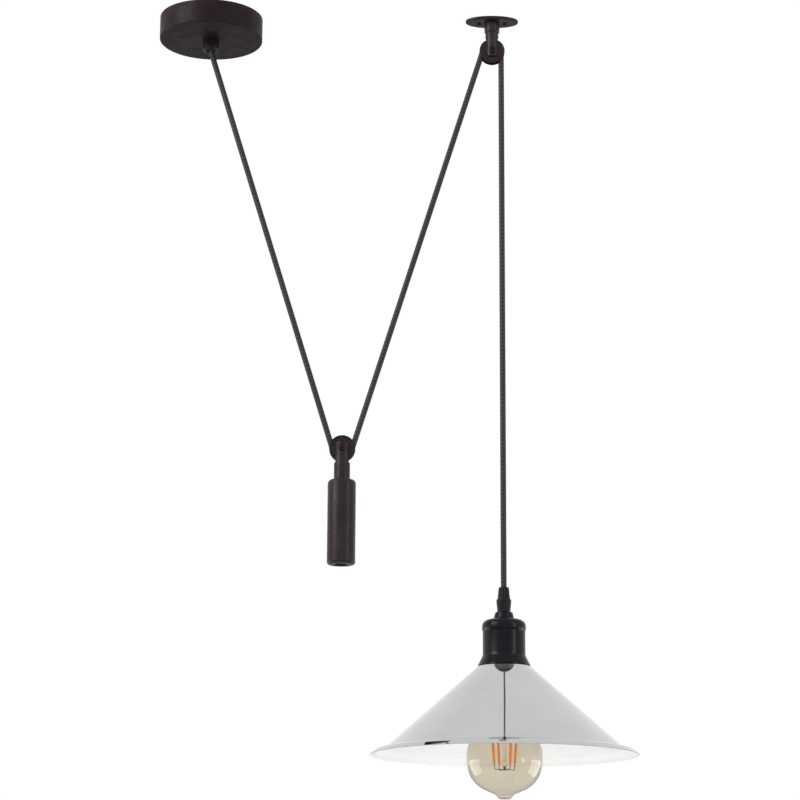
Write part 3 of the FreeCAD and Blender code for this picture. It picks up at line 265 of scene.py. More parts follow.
def node(tree, kind, inputs=None, **settings):
    """One shader node with its settings; an input is a value or another node's output."""
    made = tree.nodes.new("ShaderNode" + kind)
    for key, value in settings.items():
        setattr(made, key, value)
    for key, value in (inputs or {}).items():
        if isinstance(value, bpy.types.NodeSocket):
            tree.links.new(value, made.inputs[key])
        else:
            made.inputs[key].default_value = value
    return made


def new_finish(name):
    finish = bpy.data.materials.new(name)
    finish.use_nodes = True
    tree = finish.node_tree
    return finish, tree, tree.nodes["Principled BSDF"]


def rgba(rgb):
    return (rgb[0], rgb[1], rgb[2], 1.0)


def place_of(tree):
    return node(tree, "TexCoord").outputs["Object"]


def mottle(tree, where, scale, detail=3.0, rough=0.55):
    """Cloudy variation with the given number of clouds to the metre."""
    made = node(tree, "TexNoise", {"Vector": where, "Scale": scale, "Detail": detail, "Roughness": rough})
    return made.outputs["Fac"]


def spread(tree, value, low, high, start=0.35, end=0.65):
    """Stretches a mottle between two values."""
    made = node(tree, "MapRange", {
        "Value": value, "From Min": start, "From Max": end, "To Min": low, "To Max": high,
    })
    return made.outputs["Result"]


def blended(tree, share, first, second):
    made = node(tree, "Mix", data_type="RGBA")
    tree.links.new(share, made.inputs[0])
    made.inputs[6].default_value = rgba(first)
    made.inputs[7].default_value = rgba(second)
    return made.outputs[2]


def relief(tree, height, strength, distance):
    made = node(tree, "Bump", {"Height": height, "Strength": strength, "Distance": distance})
    return made.outputs["Normal"]


def maths(tree, operation, first, second=0.0, third=0.0):
    made = node(tree, "Math", operation=operation)
    for socket, value in zip(made.inputs, (first, second, third)):
        if isinstance(value, bpy.types.NodeSocket):
            tree.links.new(value, socket)
        else:
            socket.default_value = value
    return made.outputs[0]


def satin_paint(name, main, worn, roughness, gloss=0.08, metallic=0.0):
    """Sprayed satin paint: slight clouds of tone, fine orange peel and rubbed patches."""
    finish, tree, shader = new_finish(name)
    where = place_of(tree)
    clouds = spread(tree, mottle(tree, where, 34.0, 5.0), 0.0, 1.0, 0.42, 0.72)
    tree.links.new(blended(tree, clouds, main, worn), shader.inputs["Base Color"])
    tree.links.new(
        spread(tree, mottle(tree, where, 90.0, 4.0), roughness - 0.05, roughness + 0.09),
        shader.inputs["Roughness"],
    )
    peel = mottle(tree, where, 1100.0, 2.0)
    tree.links.new(relief(tree, peel, 0.22, 0.0002), shader.inputs["Normal"])
    shader.inputs["Metallic"].default_value = metallic
    shader.inputs["Specular IOR Level"].default_value = gloss
    return finish


def spun_lines(tree, fineness):
    """Faint rings left by the spinning tool, from the piece's map of turn and run."""
    uv = node(tree, "TexCoord").outputs["UV"]
    stretch = node(tree, "Mapping", {"Vector": uv, "Scale": (1.5, fineness, 1.0)})
    return node(tree, "TexNoise", {
        "Vector": stretch.outputs["Vector"], "Scale": 1.0, "Detail": 4.0, "Roughness": 0.7,
    }).outputs["Fac"]


def chrome_plate(name, tone):
    """Bright plate over spun sheet: rings too fine to see one by one, and a faint haze of handling."""
    finish, tree, shader = new_finish(name)
    where = place_of(tree)
    haze = spread(tree, mottle(tree, where, 22.0, 6.0), 0.0, 1.0, 0.4, 0.75)
    duller = tuple(channel * 0.93 for channel in tone)
    tree.links.new(blended(tree, haze, tone, duller), shader.inputs["Base Color"])
    tree.links.new(
        spread(tree, mottle(tree, where, 48.0, 5.0), 0.02, 0.05), shader.inputs["Roughness"],
    )
    tree.links.new(relief(tree, spun_lines(tree, 2600.0), 0.03, 0.00004), shader.inputs["Normal"])
    shader.inputs["Metallic"].default_value = 1.0
    return finish


def cup_lacquer(name, tone):
    """Blue-black lacquer over spun metal, its rings just showing."""
    finish, tree, shader = new_finish(name)
    rings = spun_lines(tree, 1500.0)
    lighter = tuple(channel * 1.5 for channel in tone)
    tree.links.new(blended(tree, spread(tree, rings, 0.0, 1.0), tone, lighter), shader.inputs["Base Color"])
    tree.links.new(
        spread(tree, mottle(tree, place_of(tree), 120.0, 4.0), 0.2, 0.27), shader.inputs["Roughness"],
    )
    tree.links.new(relief(tree, rings, 0.08, 0.0001), shader.inputs["Normal"])
    shader.inputs["Specular IOR Level"].default_value = 0.12
    shader.inputs["Coat Weight"].default_value = 0.03
    shader.inputs["Coat Roughness"].default_value = 0.16
    return finish


def white_enamel(name, tone):
    """Sprayed white inside, with a soft sheen and a trace of dust."""
    finish, tree, shader = new_finish(name)
    where = place_of(tree)
    dust = spread(tree, mottle(tree, where, 60.0, 6.0), 0.0, 1.0, 0.45, 0.8)
    dusty = (tone[0] * 0.95, tone[1] * 0.94, tone[2] * 0.92)
    tree.links.new(blended(tree, dust, tone, dusty), shader.inputs["Base Color"])
    tree.links.new(spread(tree, mottle(tree, where, 150.0), 0.36, 0.5), shader.inputs["Roughness"])
    tree.links.new(relief(tree, mottle(tree, where, 900.0, 2.0), 0.15, 0.0001), shader.inputs["Normal"])
    shader.inputs["Specular IOR Level"].default_value = 0.25
    return finish


def braided_yarn(name, dark, light, strands, lay):
    """Two ways of yarn crossing over and under round the flex, with loose fibres; the crowns are coloured
    lighter as a painted highlight and the hollows darker as painted shade.
    """
    finish, tree, shader = new_finish(name)
    uv = node(tree, "TexCoord").outputs["UV"]
    split = node(tree, "SeparateXYZ", {"Vector": uv})
    around = maths(tree, "MULTIPLY", split.outputs["X"], strands / 2)
    along = maths(tree, "DIVIDE", split.outputs["Y"], lay)
    crowns = []
    phases = []
    for operation in ("ADD", "SUBTRACT"):
        phase = maths(tree, operation, around, along)
        phases.append(phase)
        crowns.append(maths(tree, "ABSOLUTE", maths(tree, "SINE", maths(tree, "MULTIPLY", phase, math.pi))))
    over = maths(tree, "SINE", maths(tree, "MULTIPLY", maths(tree, "ADD", phases[0], phases[1]), math.pi))
    share = spread(tree, over, 0.0, 1.0, -0.35, 0.35)
    rest = maths(tree, "SUBTRACT", 1.0, share)
    height = maths(
        tree, "ADD", maths(tree, "MULTIPLY", crowns[0], share), maths(tree, "MULTIPLY", crowns[1], rest),
    )
    fine = node(tree, "Mapping", {"Vector": uv, "Scale": (26.0, 2400.0, 1.0)})
    fibre = node(tree, "TexNoise", {
        "Vector": fine.outputs["Vector"], "Scale": 1.0, "Detail": 3.0, "Roughness": 0.6,
    }).outputs["Fac"]
    # painted highlight and shade: the yarn's colour runs from dark in the hollows to light on the crowns, as if
    # lit
    lit = maths(tree, "MULTIPLY", maths(tree, "POWER", height, 2.2), spread(tree, fibre, 0.25, 1.0))
    tree.links.new(blended(tree, lit, dark, light), shader.inputs["Base Color"])
    mixed = maths(tree, "ADD", height, maths(tree, "MULTIPLY", fibre, 0.35))
    tree.links.new(relief(tree, mixed, 0.5, 0.00025), shader.inputs["Normal"])
    shader.inputs["Roughness"].default_value = 0.4
    shader.inputs["Specular IOR Level"].default_value = 0.2
    return finish


def moulded_plastic(name, tone, roughness):
    """Moulded plastic with a fine spark-eroded grain and slightly polished high spots."""
    finish, tree, shader = new_finish(name)
    where = place_of(tree)
    lighter = tuple(min(1.0, channel * 1.25 + 0.004) for channel in tone)
    tree.links.new(
        blended(tree, spread(tree, mottle(tree, where, 260.0, 4.0), 0.0, 1.0), tone, lighter),
        shader.inputs["Base Color"],
    )
    tree.links.new(
        spread(tree, mottle(tree, where, 420.0, 3.0), roughness - 0.06, roughness + 0.08),
        shader.inputs["Roughness"],
    )
    tree.links.new(relief(tree, mottle(tree, where, 2200.0, 2.0), 0.25, 0.0001), shader.inputs["Normal"])
    shader.inputs["Specular IOR Level"].default_value = 0.15
    return finish


def machined_metal(name, tone, roughness):
    """Drawn or machined metal: fine lines, and a slight change of tone where it has been handled."""
    finish, tree, shader = new_finish(name)
    where = place_of(tree)
    duller = tuple(channel * 0.8 for channel in tone)
    tree.links.new(
        blended(tree, spread(tree, mottle(tree, where, 180.0, 5.0), 0.0, 1.0), tone, duller),
        shader.inputs["Base Color"],
    )
    drawn = node(tree, "Mapping", {"Vector": where, "Scale": (900.0, 900.0, 6000.0)})
    lines = node(tree, "TexNoise", {
        "Vector": drawn.outputs["Vector"], "Scale": 1.0, "Detail": 3.0,
    }).outputs["Fac"]
    tree.links.new(spread(tree, lines, roughness - 0.07, roughness + 0.1), shader.inputs["Roughness"])
    tree.links.new(relief(tree, lines, 0.12, 0.00006), shader.inputs["Normal"])
    shader.inputs["Metallic"].default_value = 1.0
    return finish


def blown_glass(name, tone, roughness=0.012):
    """Clear tinted glass with the slow waves of blowing, its colour darkened towards its outline as painted
    shade.
    """
    finish, tree, shader = new_finish(name)
    where = place_of(tree)
    deeper = tuple(channel * 0.96 for channel in tone)
    clouds = blended(tree, spread(tree, mottle(tree, where, 26.0, 2.0), 0.0, 1.0), tone, deeper)
    # painted shade: the colour darkens where the glass is seen edge-on, standing in for thicker glass and dark
    # surroundings seen through it
    facing = node(tree, "LayerWeight", {"Blend": 0.5}).outputs["Facing"]
    edge = node(tree, "Mix", {0: maths(tree, "POWER", facing, 6.0)}, data_type="RGBA")
    tree.links.new(clouds, edge.inputs[6])
    edge.inputs[7].default_value = rgba(tuple(channel ** 3 * 0.5 for channel in tone))
    tree.links.new(edge.outputs[2], shader.inputs["Base Color"])
    tree.links.new(relief(tree, mottle(tree, where, 45.0, 1.0), 0.05, 0.0006), shader.inputs["Normal"])
    shader.inputs["Roughness"].default_value = roughness
    shader.inputs["Transmission Weight"].default_value = 1.0
    shader.inputs["IOR"].default_value = 1.46
    return finish


def filament_coat(name, tone):
    """Grainy orange coat on the filament sticks, with a painted glow: the coat emits its own colour though the
    bulb is not lit.
    """
    finish, tree, shader = new_finish(name)
    where = place_of(tree)
    grain = mottle(tree, where, 1800.0, 3.0)
    paler = (min(1.0, tone[0] * 1.1), tone[1] * 1.35, tone[2] * 1.6)
    tree.links.new(blended(tree, spread(tree, grain, 0.0, 1.0), tone, paler), shader.inputs["Base Color"])
    tree.links.new(relief(tree, grain, 0.4, 0.0001), shader.inputs["Normal"])
    shader.inputs["Roughness"].default_value = 0.55
    # painted glow: the unlit filament sticks emit their coat colour
    shader.inputs["Emission Color"].default_value = rgba(tone)
    shader.inputs["Emission Strength"].default_value = 0.42
    return finish


FINISHES = {}
TURNED_GLOSS = 0.16         # specular level of turned and small dark pieces


def finish(name):
    """Each finish is made once, from the colours of the panel."""
    if name in FINISHES:
        return FINISHES[name]
    tone = colours()
    makers = {
        "dark_paint": lambda: satin_paint("dark_paint", tone.paint, tone.paint_worn, 0.44),
        "dark_paint_turned": lambda: satin_paint(
            "dark_paint_turned", tone.paint, tone.paint_worn, 0.32, TURNED_GLOSS,
        ),
        "black_steel": lambda: satin_paint("black_steel", tone.paint, tone.paint_worn, 0.34, TURNED_GLOSS, 0.4),
        "cup_lacquer": lambda: cup_lacquer("cup_lacquer", tone.cup),
        "chrome_plate": lambda: chrome_plate("chrome_plate", tone.chrome),
        "white_enamel": lambda: white_enamel("white_enamel", tone.enamel),
        "braided_yarn": lambda: braided_yarn("braided_yarn", tone.braid_dark, tone.braid_crown_highlight, 24, 0.0042),
        "black_plastic": lambda: moulded_plastic("black_plastic", tone.black, 0.42),
        "brown_phenolic": lambda: moulded_plastic("brown_phenolic", (0.022, 0.014, 0.011), 0.22),
        "white_ceramic": lambda: moulded_plastic("white_ceramic", tone.white, 0.3),
        "clear_nylon": lambda: moulded_plastic("clear_nylon", tone.white, 0.46),
        "zinc_steel": lambda: machined_metal("zinc_steel", tone.steel, 0.3),
        "brass": lambda: machined_metal("brass", tone.brass, 0.28),
        "cap_metal": lambda: machined_metal("cap_metal", (0.7, 0.69, 0.66), 0.32),
        "nickel_wire": lambda: machined_metal("nickel_wire", (0.30, 0.26, 0.21), 0.3),
        "amber_glass": lambda: blown_glass("amber_glass", tone.amber),
        "stem_glass": lambda: blown_glass("stem_glass", (0.93, 0.91, 0.84)),
        "black_glass": lambda: moulded_plastic("black_glass", (0.012, 0.012, 0.014), 0.12),
        "filament_coat": lambda: filament_coat("filament_coat", tone.filament),
        "brown_sleeve": lambda: moulded_plastic("brown_sleeve", (0.16, 0.06, 0.025), 0.36),
        "blue_sleeve": lambda: moulded_plastic("blue_sleeve", (0.02, 0.09, 0.36), 0.36),
        "green_sleeve": lambda: moulded_plastic("green_sleeve", (0.10, 0.36, 0.05), 0.36),
    }
    FINISHES[name] = makers[name]()
    return FINISHES[name]


def dress(nodes, name):
    """The part's own piece keeps its shape and gets its finish."""
    for key in nodes:
        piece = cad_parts[key]
        piece.data.materials.clear()
        piece.data.materials.append(finish(name))


# ---- Canopy ----

def canopy_cover():
    """Round cover with a soft lower edge, and a lip where it is turned in at the cord grip's hole."""
    size = sizes()
    outer_r = size.canopy_r / MM
    height = size.canopy_height / MM
    outer, inner = sheet_sides([
        (outer_r, 0.0), (outer_r, -height, 1.2), (5.05, -height),
    ], 1.0)
    mesh = settled(turned("canopy_cover", outer + inner[::-1], ROUND_TURNS))
    new_piece("canopy_cover", mesh, "ceiling_side", [finish("dark_paint")], ["canopy_cup"])


def canopy_cord_grip():
    """Grip under the canopy, its mouth opened out so that the flex can lean."""
    seat = -24.05
    foot = -36.0
    outline = rounded([
        (FLEX_BORE_R, seat + 6.5), (5.0, seat + 6.5, 0.3), (5.0, seat), (8.4, seat, 0.6),
        (8.4, foot, 3.6), (4.1, foot, 0.5), (FLEX_BORE_R, foot + 10.0),
    ], True)
    mesh = settled(turned("canopy_cord_grip", outline))
    new_piece(
        "canopy_cord_grip", mesh, "ceiling_side", [finish("black_plastic")],
        ["canopy_grip_body"],
    )


class PENDANT_OT_canopy(bpy.types.Operator):
    """Builds the canopy's cover and cord grip, and finishes what they hide"""

    bl_idname = "pendant.canopy"
    bl_label = "Canopy"

    def execute(self, context):
        canopy_cover()
        canopy_cord_grip()
        dress(["canopy_side_screws"], "black_steel")
        dress(["canopy_grip_nut"], "black_plastic")
        dress(["canopy_grip_screw", "terminal_block"], "clear_nylon")
        dress(["ceiling_bracket", "terminal_screws", "terminal_block_screw"], "zinc_steel")
        dress(["terminal_barrels"], "brass")
        dress(["canopy_live_wire"], "brown_sleeve")
        dress(["canopy_neutral_wire"], "blue_sleeve")
        dress(["canopy_earth_wire"], "green_sleeve")
        return {"FINISHED"}


# ---- Pulleys ----

def sheave_wheel(name, body, axle, replaced):
    """Grooved wheel with rounded rims, turned a little hollow between rim and hub on both faces."""
    rim = sizes().sheave_r / MM
    pitch = 9.4
    mouth = FLEX_BORE_R + 0.25
    half = 4.2
    groove = []
    steps = 24
    for k in range(steps + 1):
        angle = -math.pi / 2 - math.pi * k / steps
        groove.append((pitch + FLEX_BORE_R * math.cos(angle), FLEX_BORE_R * math.sin(angle)))
    face = rounded([
        (rim, mouth, 0.2), (rim, half, 0.35), (rim - 1.2, half, 0.2), (rim - 1.7, half - 0.4, 0.2),
        (5.2, half - 0.4, 0.2), (4.7, half, 0.2), (3.25, half),
    ], False)
    back = [Vector((point.x, -point.y)) for point in reversed(face)]
    outline = [Vector(point) for point in groove] + face + back
    mesh = settled(turned(name, outline), on_axle(axle))
    new_piece(name, mesh, body, [finish("dark_paint_turned")], replaced)


class PENDANT_OT_ceiling_pulley(bpy.types.Operator):
    """Builds the ceiling pulley's wheel, and finishes its plate, hanger and axle"""

    bl_idname = "pendant.ceiling_pulley"
    bl_label = "Ceiling pulley"

    def execute(self, context):
        sheave_wheel("ceiling_wheel", "ceiling_sheave", CEILING_AXLE, ["ceiling_sheave_wheel"])
        dress(["pulley_plate", "pulley_hanger"], "dark_paint_turned")
        dress(["hanger_axle_bolt", "hanger_axle_nut"], "black_steel")
        dress(["pulley_plate_screw"], "zinc_steel")
        dress(["ceiling_sheave_bush"], "brass")
        return {"FINISHED"}


def weight_bar():
    """Turned bar with rounded shoulders, and a shallow recess underneath."""
    size = sizes()
    radius = size.weight_r / MM
    foot = -size.weight_length / MM
    outline = rounded([
        (4.05, 0.0, 0.2), (radius, 0.0, 4.0), (radius, foot, 2.6), (8.5, foot, 0.4), (7.5, foot + 2.0, 0.6),
        (0.0, foot + 2.0), (0.0, -14.3), (4.05, -14.3),
    ], True)
    place = (WEIGHT_AXLE[0], 0.0, WEIGHT_AXLE[2] - 31.7)
    mesh = settled(turned("weight_bar", outline, 96), at(place))
    new_piece("weight_bar", mesh, "weight", [finish("dark_paint_turned")], ["counterweight"])


class PENDANT_OT_counterweight(bpy.types.Operator):
    """Builds the lower pulley's wheel and the hanging bar, and finishes the fork between them"""

    bl_idname = "pendant.counterweight"
    bl_label = "Counterweight"

    def execute(self, context):
        sheave_wheel("weight_wheel", "lower_sheave", WEIGHT_AXLE, ["weight_sheave_wheel"])
        weight_bar()
        dress(["weight_fork"], "dark_paint_turned")
        dress(["weight_axle_bolt", "weight_axle_nut"], "black_steel")
        dress(["weight_stud"], "zinc_steel")
        dress(["weight_sheave_bush"], "brass")
        return {"FINISHED"}


# ---- Flex ----

# Corners of the flex's route in metres, the same as the part's: down out of the canopy's grip, taut to
# the lower wheel, under it and up to the ceiling wheel, and over that down into the lamp
LEFT_ROUTE = [
    (0.0, 0.0, -0.0140), (0.0, 0.0, -0.0255), (0.0, 0.0, -0.0350), (0.0103, 0.0, -0.0682),
    (0.1191, 0.0, -0.4183), (0.12947, 0.0, -0.45168), (0.13358, 0.0, -0.4649), (0.1405, 0.0, -0.4649),
]
RIGHT_ROUTE = [
    (0.1405, 0.0, -0.4649), (0.14742, 0.0, -0.4649), (0.15153, 0.0, -0.45168), (0.1619, 0.0, -0.4183),
    (0.2696, 0.0, -0.0717), (0.27997, 0.0, -0.03832), (0.28408, 0.0, -0.0251), (0.2910, 0.0, -0.0251),
]
DROP_ROUTE = [
    (0.2910, 0.0, -0.0251), (0.3004, 0.0, -0.0251), (0.3004, 0.0, -0.0439), (0.3004, 0.0, -0.0790),
    (0.3004, 0.0, -0.5600), (0.3004, 0.0, -0.6394),
]
FLEX_SIDES = 28
STEPS_TO_A_POINT = 60


def route_line(name, corners):
    """Points along the smooth line that the route's corners guide."""
    curve = bpy.data.curves.new(name, "CURVE")
    curve.dimensions = "3D"
    spline = curve.splines.new("NURBS")
    spline.points.add(len(corners) - 1)
    for point, corner in zip(spline.points, corners):
        point.co = (*corner, 1.0)
    spline.order_u = 3
    spline.use_endpoint_u = True
    spline.resolution_u = STEPS_TO_A_POINT
    holder = bpy.data.objects.new(name, curve)
    bpy.context.scene.collection.objects.link(holder)
    bpy.context.view_layer.update()
    line = bpy.data.meshes.new_from_object(holder)
    points = [vertex.co.copy() for vertex in line.vertices]
    bpy.data.objects.remove(holder)
    bpy.data.meshes.remove(line)
    return points


def kept_straight(piece, start, end):
    """Goes over the stretch's points with an easing share at each end, and leaves them all as they are."""
    ease = 0.04
    for vertex in piece.data.vertices:
        t = min(1.0, max(0.0, (start[2] - vertex.co.z) / (start[2] - end[2])))
        if t < ease:
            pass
        elif t > 1 - ease:
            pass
        else:
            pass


def flex_piece(name, corners, node_name, start, end):
    """One taut stretch of braided flex."""
    radius = sizes().flex_d / 2
    line = route_line(name + "_route", corners)
    vertices, faces, places = [], [], []
    travelled = [0.0]
    for a, b in zip(line, line[1:]):
        travelled.append(travelled[-1] + (b - a).length)
    sideways = Vector((0, 1, 0))
    for i, point in enumerate(line):
        heading = (line[min(i + 1, len(line) - 1)] - line[max(i - 1, 0)]).normalized()
        across = heading.cross(sideways).normalized()
        for k in range(FLEX_SIDES):
            angle = FULL_TURN * k / FLEX_SIDES
            vertices.append(point + (across * math.cos(angle) + sideways * math.sin(angle)) * radius)
    for i in range(len(line) - 1):
        for k in range(FLEX_SIDES):
            following = (k + 1) % FLEX_SIDES
            low, high = i * FLEX_SIDES, (i + 1) * FLEX_SIDES
            faces.append((low + k, low + following, high + following, high + k))
            u, v = k / FLEX_SIDES, (k + 1) / FLEX_SIDES
            places += [(u, travelled[i]), (v, travelled[i]), (v, travelled[i + 1]), (u, travelled[i + 1])]
    for ring in (0, len(line) - 1):
        faces.append([ring * FLEX_SIDES + k for k in range(FLEX_SIDES)])
        places += [(k / FLEX_SIDES, travelled[ring]) for k in range(FLEX_SIDES)]
    mesh = bpy.data.meshes.new(name)
    mesh.from_pydata(vertices, [], faces)
    layer = mesh.uv_layers.new(name="turn_and_run")
    for item, place in zip(layer.data, places):
        item.uv = place
    settled(mesh)
    piece = new_piece(name, mesh, None, [finish("braided_yarn")], [node_name])
    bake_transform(piece)
    kept_straight(piece, start, end)


class PENDANT_OT_flex(bpy.types.Operator):
    """Lays the braided flex over both pulleys and down to the lamp"""

    bl_idname = "pendant.flex"
    bl_label = "Flex"

    def execute(self, context):
        flex_piece(
            "flex_to_weight", LEFT_ROUTE, "flex_left_leg",
            (0.0, 0.0, -0.040), (0.0, 0.0, -0.455),
        )
        flex_piece(
            "flex_from_weight", RIGHT_ROUTE, "flex_right_leg",
            (0.0, 0.0, -0.034), (0.0, 0.0, -0.455),
        )
        flex_piece(
            "flex_to_lamp", DROP_ROUTE, "flex_drop",
            (0.0, 0.0, -0.038), (0.0, 0.0, -0.585),
        )
        return {"FINISHED"}


# ---- Lamp ----

FLUTE_COUNT = 12
FLUTE_HALF_WIDTH = 0.13     # radians
FLUTE_DEPTH = 0.5


def fluted(low, high):
    """Presses upright flutes into a ring between two heights."""
    def swell(angle, point):
        if not low <= point[1] <= high or point[0] < 4.9:
            return 0.0
        pitch = FULL_TURN / FLUTE_COUNT
        away = abs((angle + pitch / 2) % pitch - pitch / 2) / FLUTE_HALF_WIDTH
        ends = min(1.0, (point[1] - low) / 0.8, (high - point[1]) / 0.8)
        return -FLUTE_DEPTH * max(0.0, 1.0 - away ** 2) * max(0.0, ends)
    return swell


def with_steps(outline, first, last, count):
    """Splits one side of an outline into short steps, so that flutes can be pressed into it."""
    points = []
    for point, following in zip(outline, outline[1:] + outline[:1]):
        points.append(point)
        on_side = first <= min(point.y, following.y) and max(point.y, following.y) <= last
        if on_side and abs(following.y - point.y) > 3.0 and point.x > 4.6:
            points += [point.lerp(following, k / count) for k in range(1, count)]
    return points


def lamp_cord_grip():
    """Two fluted rings of the lamp's cord grip."""
    top = 12.85 + 11.6
    cap = rounded([
        (4.45, 12.85), (6.15, 12.85, 0.3), (5.05, top, 0.8), (FLEX_BORE_R, top, 0.3),
        (FLEX_BORE_R, 21.15), (4.45, 21.15),
    ], True)
    cap = with_steps(cap, 12.9, top, 24)
    mesh = settled(turned("grip_cap", cap, 192, swell=fluted(13.8, top - 1.4)), at(LAMP_TOP))
    new_piece("grip_cap", mesh, "lamp", [finish("black_plastic")], ["lamp_grip_cap"])
    base = rounded([
        (5.05, 0.05), (6.3, 0.05, 0.3), (7.4, 11.2, 0.5), (6.7, 12.8, 0.4), (4.4, 12.8), (4.4, 17.8, 0.3),
        (FLEX_BORE_R, 17.8), (FLEX_BORE_R, 7.05), (5.05, 7.05),
    ], True)
    base = with_steps(base, 0.06, 11.3, 24)
    mesh = settled(turned("grip_base", base, 192, swell=fluted(1.2, 10.2)), at(LAMP_TOP))
    new_piece("grip_base", mesh, "lamp", [finish("black_plastic")], ["lamp_grip_base"])


def spun_cup():
    """Spun cup: neck, shoulder with a bead, barrel, and a skirt flared onto the shade."""
    outer, inner = sheet_sides([
        (5.05, 0.0), (8.4, 0.0, 1.6), (10.4, -7.0, 2.0), (21.5, -8.4, 6.5), (21.5, -17.0, 1.3),
        (20.85, -19.2, 1.3), (20.85, -42.5, 8.0), (25.7, -52.2),
    ], 0.8)
    mesh = settled(turned("spun_cup", outer + inner[::-1], ROUND_TURNS), at(LAMP_TOP))
    new_piece("spun_cup", mesh, "lamp", [finish("cup_lacquer")], ["lamp_cup"])


SHADE_TOP = -50.68
CONE_DROP = 81.9
RIM_ROLL = 6.4


def cone_shade():
    """Chromed cone, white inside, its rim rolled out."""
    size = sizes()
    foot = SHADE_TOP - CONE_DROP
    rim_r = size.shade_r / MM
    outer, inner = sheet_sides([
        (20.2, SHADE_TOP), (22.8, SHADE_TOP, 1.6), (115.5, foot, 2.5), (125.5, foot - 2.0, 7.0),
        (rim_r, foot - RIM_ROLL),
    ], size.shade_wall / MM)
    outline = outer + inner[::-1]
    plated = len(outer)
    mesh = turned("cone_shade", outline, 256, finish_of=lambda i: 0 if i < plated else 1)
    mesh = settled(mesh, at(LAMP_TOP))
    new_piece(
        "cone_shade", mesh, "lamp", [finish("chrome_plate"), finish("white_enamel")],
        ["shade"],
    )


class PENDANT_OT_lamp(bpy.types.Operator):
    """Builds the lamp's cord grip, cup and shade, and finishes the lampholder inside"""

    bl_idname = "pendant.lamp"
    bl_label = "Lamp"

    def execute(self, context):
        lamp_cord_grip()
        spun_cup()
        cone_shade()
        dress(["lampholder_dome", "lampholder_body", "shade_ring"], "brown_phenolic")
        dress(["lamp_grip_collet"], "clear_nylon")
        dress(["contact_block"], "white_ceramic")
        dress(["hollow_nipple", "nipple_nut", "lampholder_terminal_screws"], "zinc_steel")
        dress(["earth_tag", "screw_shell", "centre_contact", "lampholder_terminals"], "brass")
        dress(["lamp_live_wire"], "brown_sleeve")
        dress(["lamp_neutral_wire"], "blue_sleeve")
        dress(["lamp_earth_wire"], "green_sleeve")
        return {"FINISHED"}


# ---- Bulb ----

BULB_TIP = -180.9
CAP_FOOT = -84.7            # foot of the bulb's cap, below the cup's top


def bulb_globe():
    """Blown globe with a neck inside the cap and a drawn pip at the bottom."""
    radius = sizes().bulb_r / MM
    equator = BULB_TIP + radius
    outer, inner = sheet_sides([
        (12.5, CAP_FOOT + 11.0), (12.5, CAP_FOOT - 0.6, 8.0), (14.5, BULB_TIP + 74.9, 14.0),
        (radius, equator + 22.0, 34.0), (radius, equator - 20.7, 30.0), (9.0, BULB_TIP + 4.4, 5.0),
        (5.4, BULB_TIP, 3.4), (0.0, BULB_TIP),
    ], 0.8)
    mesh = settled(turned("bulb_globe", outer + inner[::-1], 128), at(LAMP_TOP))
    new_piece("bulb_globe", mesh, "lamp", [finish("amber_glass")], ["bulb_glass"])


def glass_stem():
    """Glass stem: a flare sealed in the neck, drawn down to a rod."""
    foot = BULB_TIP + 31.0
    top = CAP_FOOT + 8.0
    outline = rounded([
        (0.0, top), (11.4, top, 0.3), (11.4, top - 1.2, 0.3), (4.2, top - 11.0, 6.0), (4.2, top - 20.0, 1.5),
        (2.1, top - 24.0, 3.0), (2.1, foot, 1.0), (0.0, foot),
    ], True)
    mesh = settled(turned("glass_stem", outline), at(LAMP_TOP))
    new_piece("glass_stem", mesh, "lamp", [finish("stem_glass")], ["bulb_stem"])


STICK_COUNT = 4
STICK_FIRST_TURN = 25.6     # degrees
STICK_FOOT = (11.0, BULB_TIP + 31.4)
STICK_TOP_R = 14.0
STICK_LENGTH = 38.0


def filament_sticks():
    """Coated sticks with a metal tab at each end, closer together at the bottom."""
    radius = sizes().filament_r / MM
    lean = STICK_TOP_R - STICK_FOOT[0]
    rise = math.sqrt(STICK_LENGTH ** 2 - lean ** 2)
    tab = 2.6
    coat = rounded([
        (0.0, tab), (radius, tab, 0.5), (radius, STICK_LENGTH - tab, 0.5), (0.0, STICK_LENGTH - tab),
    ], True)
    end = rounded([(0.0, 0.0), (0.45, 0.0, 0.15), (0.45, tab + 0.4), (0.0, tab + 0.4)], True)
    work = bmesh.new()
    for k in range(STICK_COUNT):
        turn = Matrix.Rotation(math.radians(STICK_FIRST_TURN + 360 * k / STICK_COUNT), 4, "Z")
        tilt = Matrix.Rotation(math.atan2(lean, rise), 4, "Y")
        stand = turn @ at((STICK_FOOT[0], 0.0, STICK_FOOT[1])) @ tilt
        for outline, lift, mark in ((coat, 0.0, 0), (end, 0.0, 1), (end, STICK_LENGTH - tab - 0.4, 1)):
            mesh = turned("stick", outline, 20, finish_of=lambda i, mark=mark: mark)
            mesh.transform(stand @ at((0.0, 0.0, lift)))
            work.from_mesh(mesh)
            bpy.data.meshes.remove(mesh)
    mesh = bpy.data.meshes.new("filament_sticks")
    work.to_mesh(mesh)
    work.free()
    mesh = settled(mesh, at(LAMP_TOP))
    new_piece(
        "filament_sticks", mesh, "lamp", [finish("filament_coat"), finish("nickel_wire")],
        ["bulb_filaments"],
    )


class PENDANT_OT_bulb(bpy.types.Operator):
    """Builds the amber globe, its stem and filaments, and finishes its cap and wires"""

    bl_idname = "pendant.bulb"
    bl_label = "Bulb"

    def execute(self, context):
        bulb_globe()
        glass_stem()
        filament_sticks()
        dress(["bulb_support_wires"], "nickel_wire")
        dress(["bulb_cap", "bulb_contact"], "cap_metal")
        dress(["bulb_cap_insulator"], "black_glass")
        return {"FINISHED"}


# ---- Studio ----

CAMERA_PLACE = (0.1977, -2.3254, -0.9637)
CAMERA_PITCH = 13.5         # degrees upward
CAMERA_ROLL = 0.3
CAMERA_LENS = 107.73        # on a sensor 36 mm wide
FLOOR_Z = -2.1
FLOOR_HALF = 30.0
SOFT_LIGHT = 0.55


